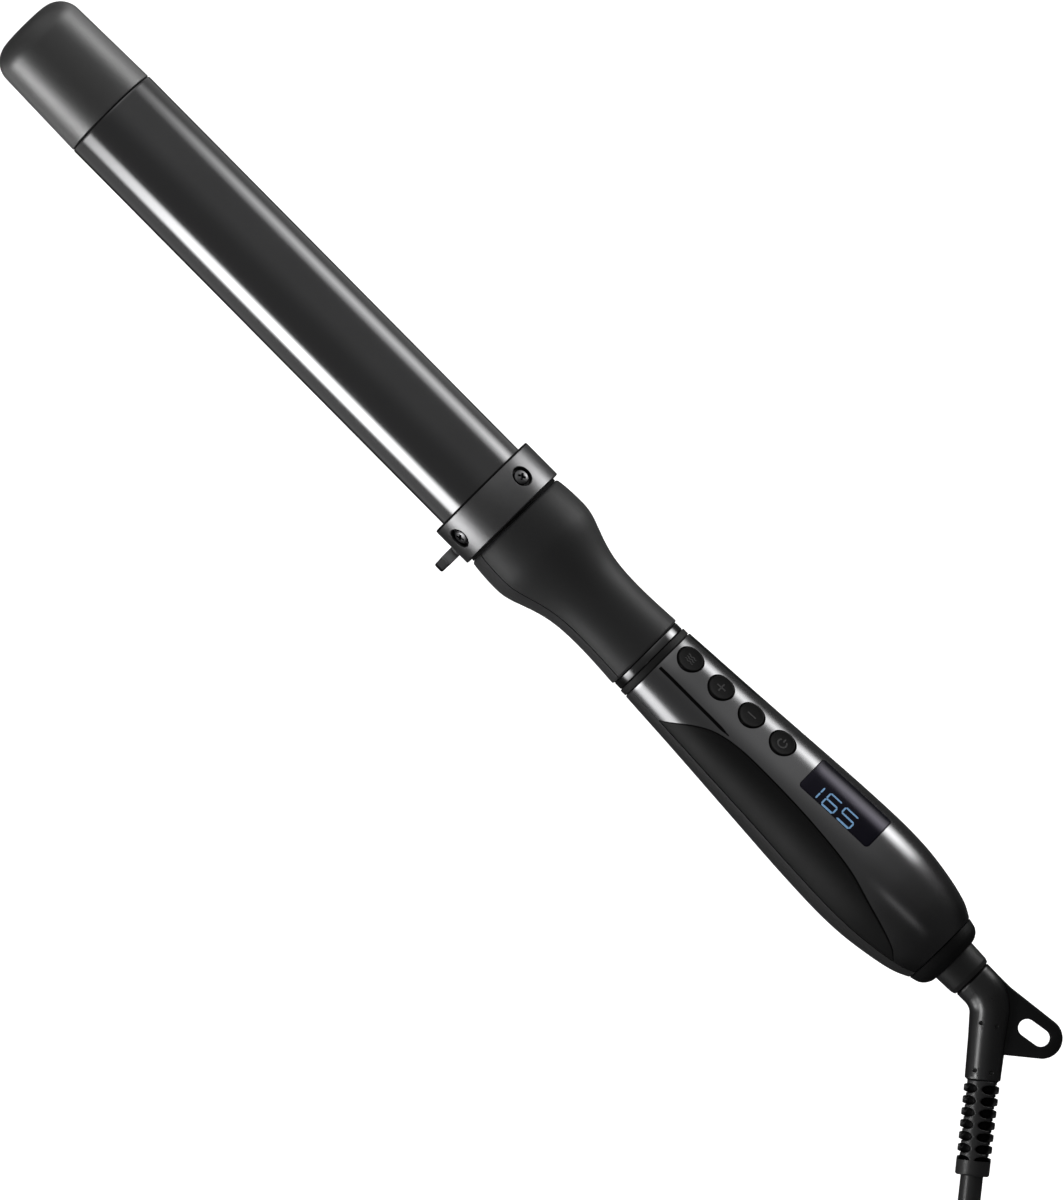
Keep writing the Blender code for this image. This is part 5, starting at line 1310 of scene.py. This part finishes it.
# ---------------------------------------------------------------- floor, in metres
def floor_material():
    """Pale and faintly glowing, and clear from below."""
    mat, g, principled = new_material("pale_floor")
    coords = g.node("ShaderNodeTexCoord").outputs["Object"]
    g.feed(principled, {
        "Roughness": g.remap(g.noise(coords, 3.0), (0.3, 0.7), (0.88, 0.94)),
        "Base Color": (0.93, 0.93, 0.93, 1), "Specular IOR Level": 0.1,
        "Emission Color": (1, 1, 1, 1), "Emission Strength": 0.55})
    one_sided = g.node("ShaderNodeMixShader", {
        0: g.node("ShaderNodeNewGeometry").outputs["Backfacing"], 1: principled.outputs[0],
        2: g.node("ShaderNodeBsdfTransparent").outputs[0]})
    g.feed(mat.node_tree.nodes["Material Output"], {"Surface": one_sided.outputs[0]})
    return mat


FLOOR_HALF, FLOOR_Z = 6.0, -0.26
bm = bmesh.new()
bm.faces.new([bm.verts.new((x * FLOOR_HALF, y * FLOOR_HALF, FLOOR_Z))
              for x, y in ((-1, -1), (1, -1), (1, 1), (-1, 1))])
floor_mesh = bpy.data.meshes.new("floor")
bm.to_mesh(floor_mesh)
bm.free()
floor = bpy.data.objects.new("floor", floor_mesh)
bpy.context.scene.collection.objects.link(floor)
floor_mesh.materials.append(floor_material())
floor.visible_glossy = False
floor.visible_shadow = False
floor.visible_transmission = False


# ---------------------------------------------------------------- world
def build_world():
    """A white surround; glossy rays see a glow that varies with direction."""
    world = bpy.data.worlds.new("studio")
    bpy.context.scene.world = world
    world.use_nodes = True
    g = Graph(world.node_tree)
    look = g.node("ShaderNodeTexCoord").outputs["Generated"]

    def towards(direction, source, target):
        return g.remap(g.vector("DOT_PRODUCT", look, direction), source, target)

    tip_side = g.math("MULTIPLY", towards(FORWARD, (0.06, 0.2), (0.0, 0.22)),
                      towards(SIDE, (-0.4, 0.3), (0.0, 1.6)))
    glow = g.math("ADD", towards(FORWARD, (-0.45, 0.05), (0.04, 0.2)), tip_side)
    glow = g.math("MULTIPLY", glow, towards(SIDE, (-0.17, 0.42), (0.75, 1.15)))
    glow = g.math("MULTIPLY", glow, towards(NORMAL, (-0.45, 0.1), (0.25, 1.0)))
    ray = g.node("ShaderNodeLightPath").outputs
    plain = g.mix(ray["Is Camera Ray"], 0.55, 1.0, "FLOAT")
    g.feed(world.node_tree.nodes["Background"], {
        "Strength": g.mix(ray["Is Glossy Ray"], plain, glow, "FLOAT"), "Color": (1, 1, 1, 1)})


build_world()

# ---------------------------------------------------------------- lights, in metres
MID = Vector((0.0, 0.0, AXIS_Z * MM))


def strip_light(name, place, towards, width, length, strength, soft, lengthwise=FORWARD,
                stops=None, slide=None, only=None):
    """A softbox whose long edges fade over the soft share of its half width.

    stops give its brightness at world x; slide (x0, x1, offset) moves its band sideways by
    offset at x0 and not at all at x1; only names the pieces that it lights.
    """
    z_axis = (place - towards).normalized()
    x_axis = (lengthwise - z_axis * z_axis.dot(lengthwise)).normalized()
    y_axis = z_axis.cross(x_axis)
    full = width + 2 * abs(slide[2]) if slide else width
    data = bpy.data.lights.new(name, "AREA")
    data.shape, data.size, data.size_y = "RECTANGLE", length, full
    data.energy = length * full * math.pi
    data.use_nodes = True
    g = Graph(data.node_tree)
    position = g.node("ShaderNodeNewGeometry").outputs["Position"]
    across = g.math("SUBTRACT", g.vector("DOT_PRODUCT", position, y_axis), place.dot(y_axis))
    if slide:
        x0, x1, offset = slide
        shift = g.remap(g.separate(position)["X"], (x0, x1), (offset, 0.0))
        across = g.math("SUBTRACT", across, shift)
    level = g.remap(g.math("ABSOLUTE", across), (width / 2 * (1 - soft), width / 2),
                    (strength, 0.0))
    if stops:
        x0, x1 = stops[0][0], stops[-1][0]
        share = g.remap(g.separate(position)["X"], (x0, x1), (0.0, 1.0))
        ramp = g.node("ShaderNodeValToRGB", {"Fac": share})
        elements = ramp.color_ramp.elements
        while len(elements) < len(stops):
            elements.new(0.5)
        for element, (x, value) in zip(elements, stops):
            element.position = (x - x0) / (x1 - x0)
            element.color = (value, value, value, 1)
        level = g.math("MULTIPLY", level, ramp.outputs["Color"])
    g.feed(data.node_tree.nodes["Emission"], {"Strength": level})
    light = bpy.data.objects.new(name, data)
    matrix = Matrix((x_axis, y_axis, z_axis)).transposed().to_4x4()
    matrix.translation = place
    light.matrix_world = matrix
    light.visible_camera = False
    bpy.context.scene.collection.objects.link(light)
    if only:
        receivers = bpy.data.collections.new(name + "_receivers")
        for receiver in only:
            receivers.objects.link(bpy.data.objects[receiver])
        light.light_linking.receiver_collection = receivers


def axis_light(name, angle, x, distance=0.85, aim_x=None, **settings):
    """A softbox beside the wand, at an angle in degrees from NORMAL towards SIDE."""
    a = math.radians(angle)
    place = MID + Vector((x, 0, 0)) + (NORMAL * math.cos(a) + SIDE * math.sin(a)) * distance
    strip_light(name, place, MID + Vector((x if aim_x is None else aim_x, 0, 0)), **settings)


HANDLE_TOP = ["handle_upper", "display_window", "display_reading", "seam_strip_left",
              "seam_strip_right"]
HANDLE_TOP += [kind + key for kind in ("key_", "icon_") for key, _, _ in BUTTONS]
TIP = ["cool_tip"]
REST = [obj.name for obj in bpy.data.objects
        if obj.type == "MESH" and obj.name not in HANDLE_TOP + TIP]

# Brightness along the softboxes: world x, level.
LOW = [(-0.2, 0.0), (-0.1, 0.3), (0.0, 0.42), (0.03, 0.56), (0.06, 0.9), (0.1, 1.0),
       (0.15, 0.76)]
LOW_BARREL_END = [(0.18, 0.52), (0.193, 0.38), (0.205, 0.25), (0.215, 0.14), (0.24, 0.05),
                  (0.36, 0.05)]
LOW_HANDLE_END = [(0.2, 0.45), (0.36, 0.6)]
HIGH = [(-0.38, 0.0), (-0.3, 0.03), (-0.25, 0.2), (-0.2, 0.9), (-0.03, 0.88), (0.03, 0.27),
        (0.07, 0.34), (0.12, 0.34), (0.17, 0.24), (0.197, 0.14)]
HIGH_BARREL_END = [(0.215, 0.07), (0.24, 0.03), (0.38, 0.03)]
HIGH_HANDLE_END = [(0.38, 0.4)]

axis_light("softbox_low", angle=-81.0, x=0.08, width=0.54, length=0.56, strength=12.0,
           soft=0.45, stops=LOW + LOW_BARREL_END, only=REST)
axis_light("softbox_low_rear", angle=-81.6, x=0.08, width=0.5, length=0.56, strength=10.0,
           soft=0.45, stops=LOW + LOW_HANDLE_END, only=HANDLE_TOP)
axis_light("softbox_low_tip", angle=-79.0, x=0.2, width=0.56, length=0.5, strength=10.1,
           soft=0.6, only=TIP)
axis_light("softbox_high", angle=96.6, x=0.0, width=0.68, length=0.76, strength=10.0,
           soft=1.0, stops=HIGH + HIGH_BARREL_END, only=REST)
axis_light("softbox_rear", angle=96.6, x=0.0, width=0.64, length=0.76, strength=9.6, soft=1.0,
           stops=HIGH + HIGH_HANDLE_END, slide=(-0.02, 0.08, 0.13), only=HANDLE_TOP)
axis_light("softbox_high_tip", angle=96.0, x=0.2, width=0.7, length=0.5, strength=5.5,
           soft=0.9, only=TIP)
axis_light("rim_tip_high", angle=132, x=0.2, distance=0.6, width=0.45, length=0.5,
           strength=0.78, soft=0.6, only=TIP)
axis_light("rim_tip_low", angle=-130, x=0.2, distance=0.6, width=0.45, length=0.5,
           strength=0.7, soft=0.6, only=TIP)
axis_light("rear_spot", angle=-17, x=-0.45, aim_x=-0.17, width=0.16, length=0.32,
           strength=0.5, soft=0.4)

ELBOW_AT = MID + Vector((-0.235, 0, 0)) - SIDE * 0.02


def elbow_light(name, direction, lengthwise, **settings):
    place = ELBOW_AT + direction.normalized() * 0.85
    strip_light(name, place, ELBOW_AT, lengthwise=lengthwise, soft=0.5, **settings)


elbow_light("elbow_spot", NORMAL * 0.6 + FORWARD * 0.62 - SIDE * 0.5,
            Vector((-0.629, 0, 0)) - SIDE * 0.777, width=0.19, length=0.42, strength=14.0,
            only=["elbow", "ribbed_sleeve", "cord"])
elbow_light("bend_spot", NORMAL * 0.595 + FORWARD * 0.346 - SIDE * 0.726,
            Vector((-0.903, 0, 0)) - SIDE * 0.43, width=0.24, length=0.3, strength=18.0,
            only=["elbow"])
axis_light("rim_high", angle=134, x=0.08, distance=0.6, width=0.5, length=0.6,
           strength=0.28, soft=0.4, only=["barrel"])
axis_light("rim_low", angle=-124, x=0.08, distance=0.6, width=0.6, length=0.6,
           strength=0.3, soft=0.4, only=["barrel"])

# ---------------------------------------------------------------- camera, in metres
TARGET = Vector((-26.85, 10.64, 26.01)) * MM
CAMERA_DISTANCE = 3.3
camera_x = Vector((0.71068, -0.5727, 0.4087)).cross(NORMAL).normalized()
camera_y = NORMAL.cross(camera_x).normalized()
matrix = Matrix((camera_x, camera_y, NORMAL)).transposed().to_4x4()
matrix.translation = TARGET + NORMAL * CAMERA_DISTANCE
camera = bpy.data.objects.new("camera", bpy.data.cameras.new("camera"))
bpy.context.scene.collection.objects.link(camera)
camera.matrix_world = matrix
camera.data.sensor_width = 36
camera.data.lens = 328
camera.data.clip_start, camera.data.clip_end = 0.05, 40
bpy.context.scene.camera = camera
bpy.context.scene.view_settings.view_transform = "Standard"
bpy.context.scene.view_settings.look = "None"
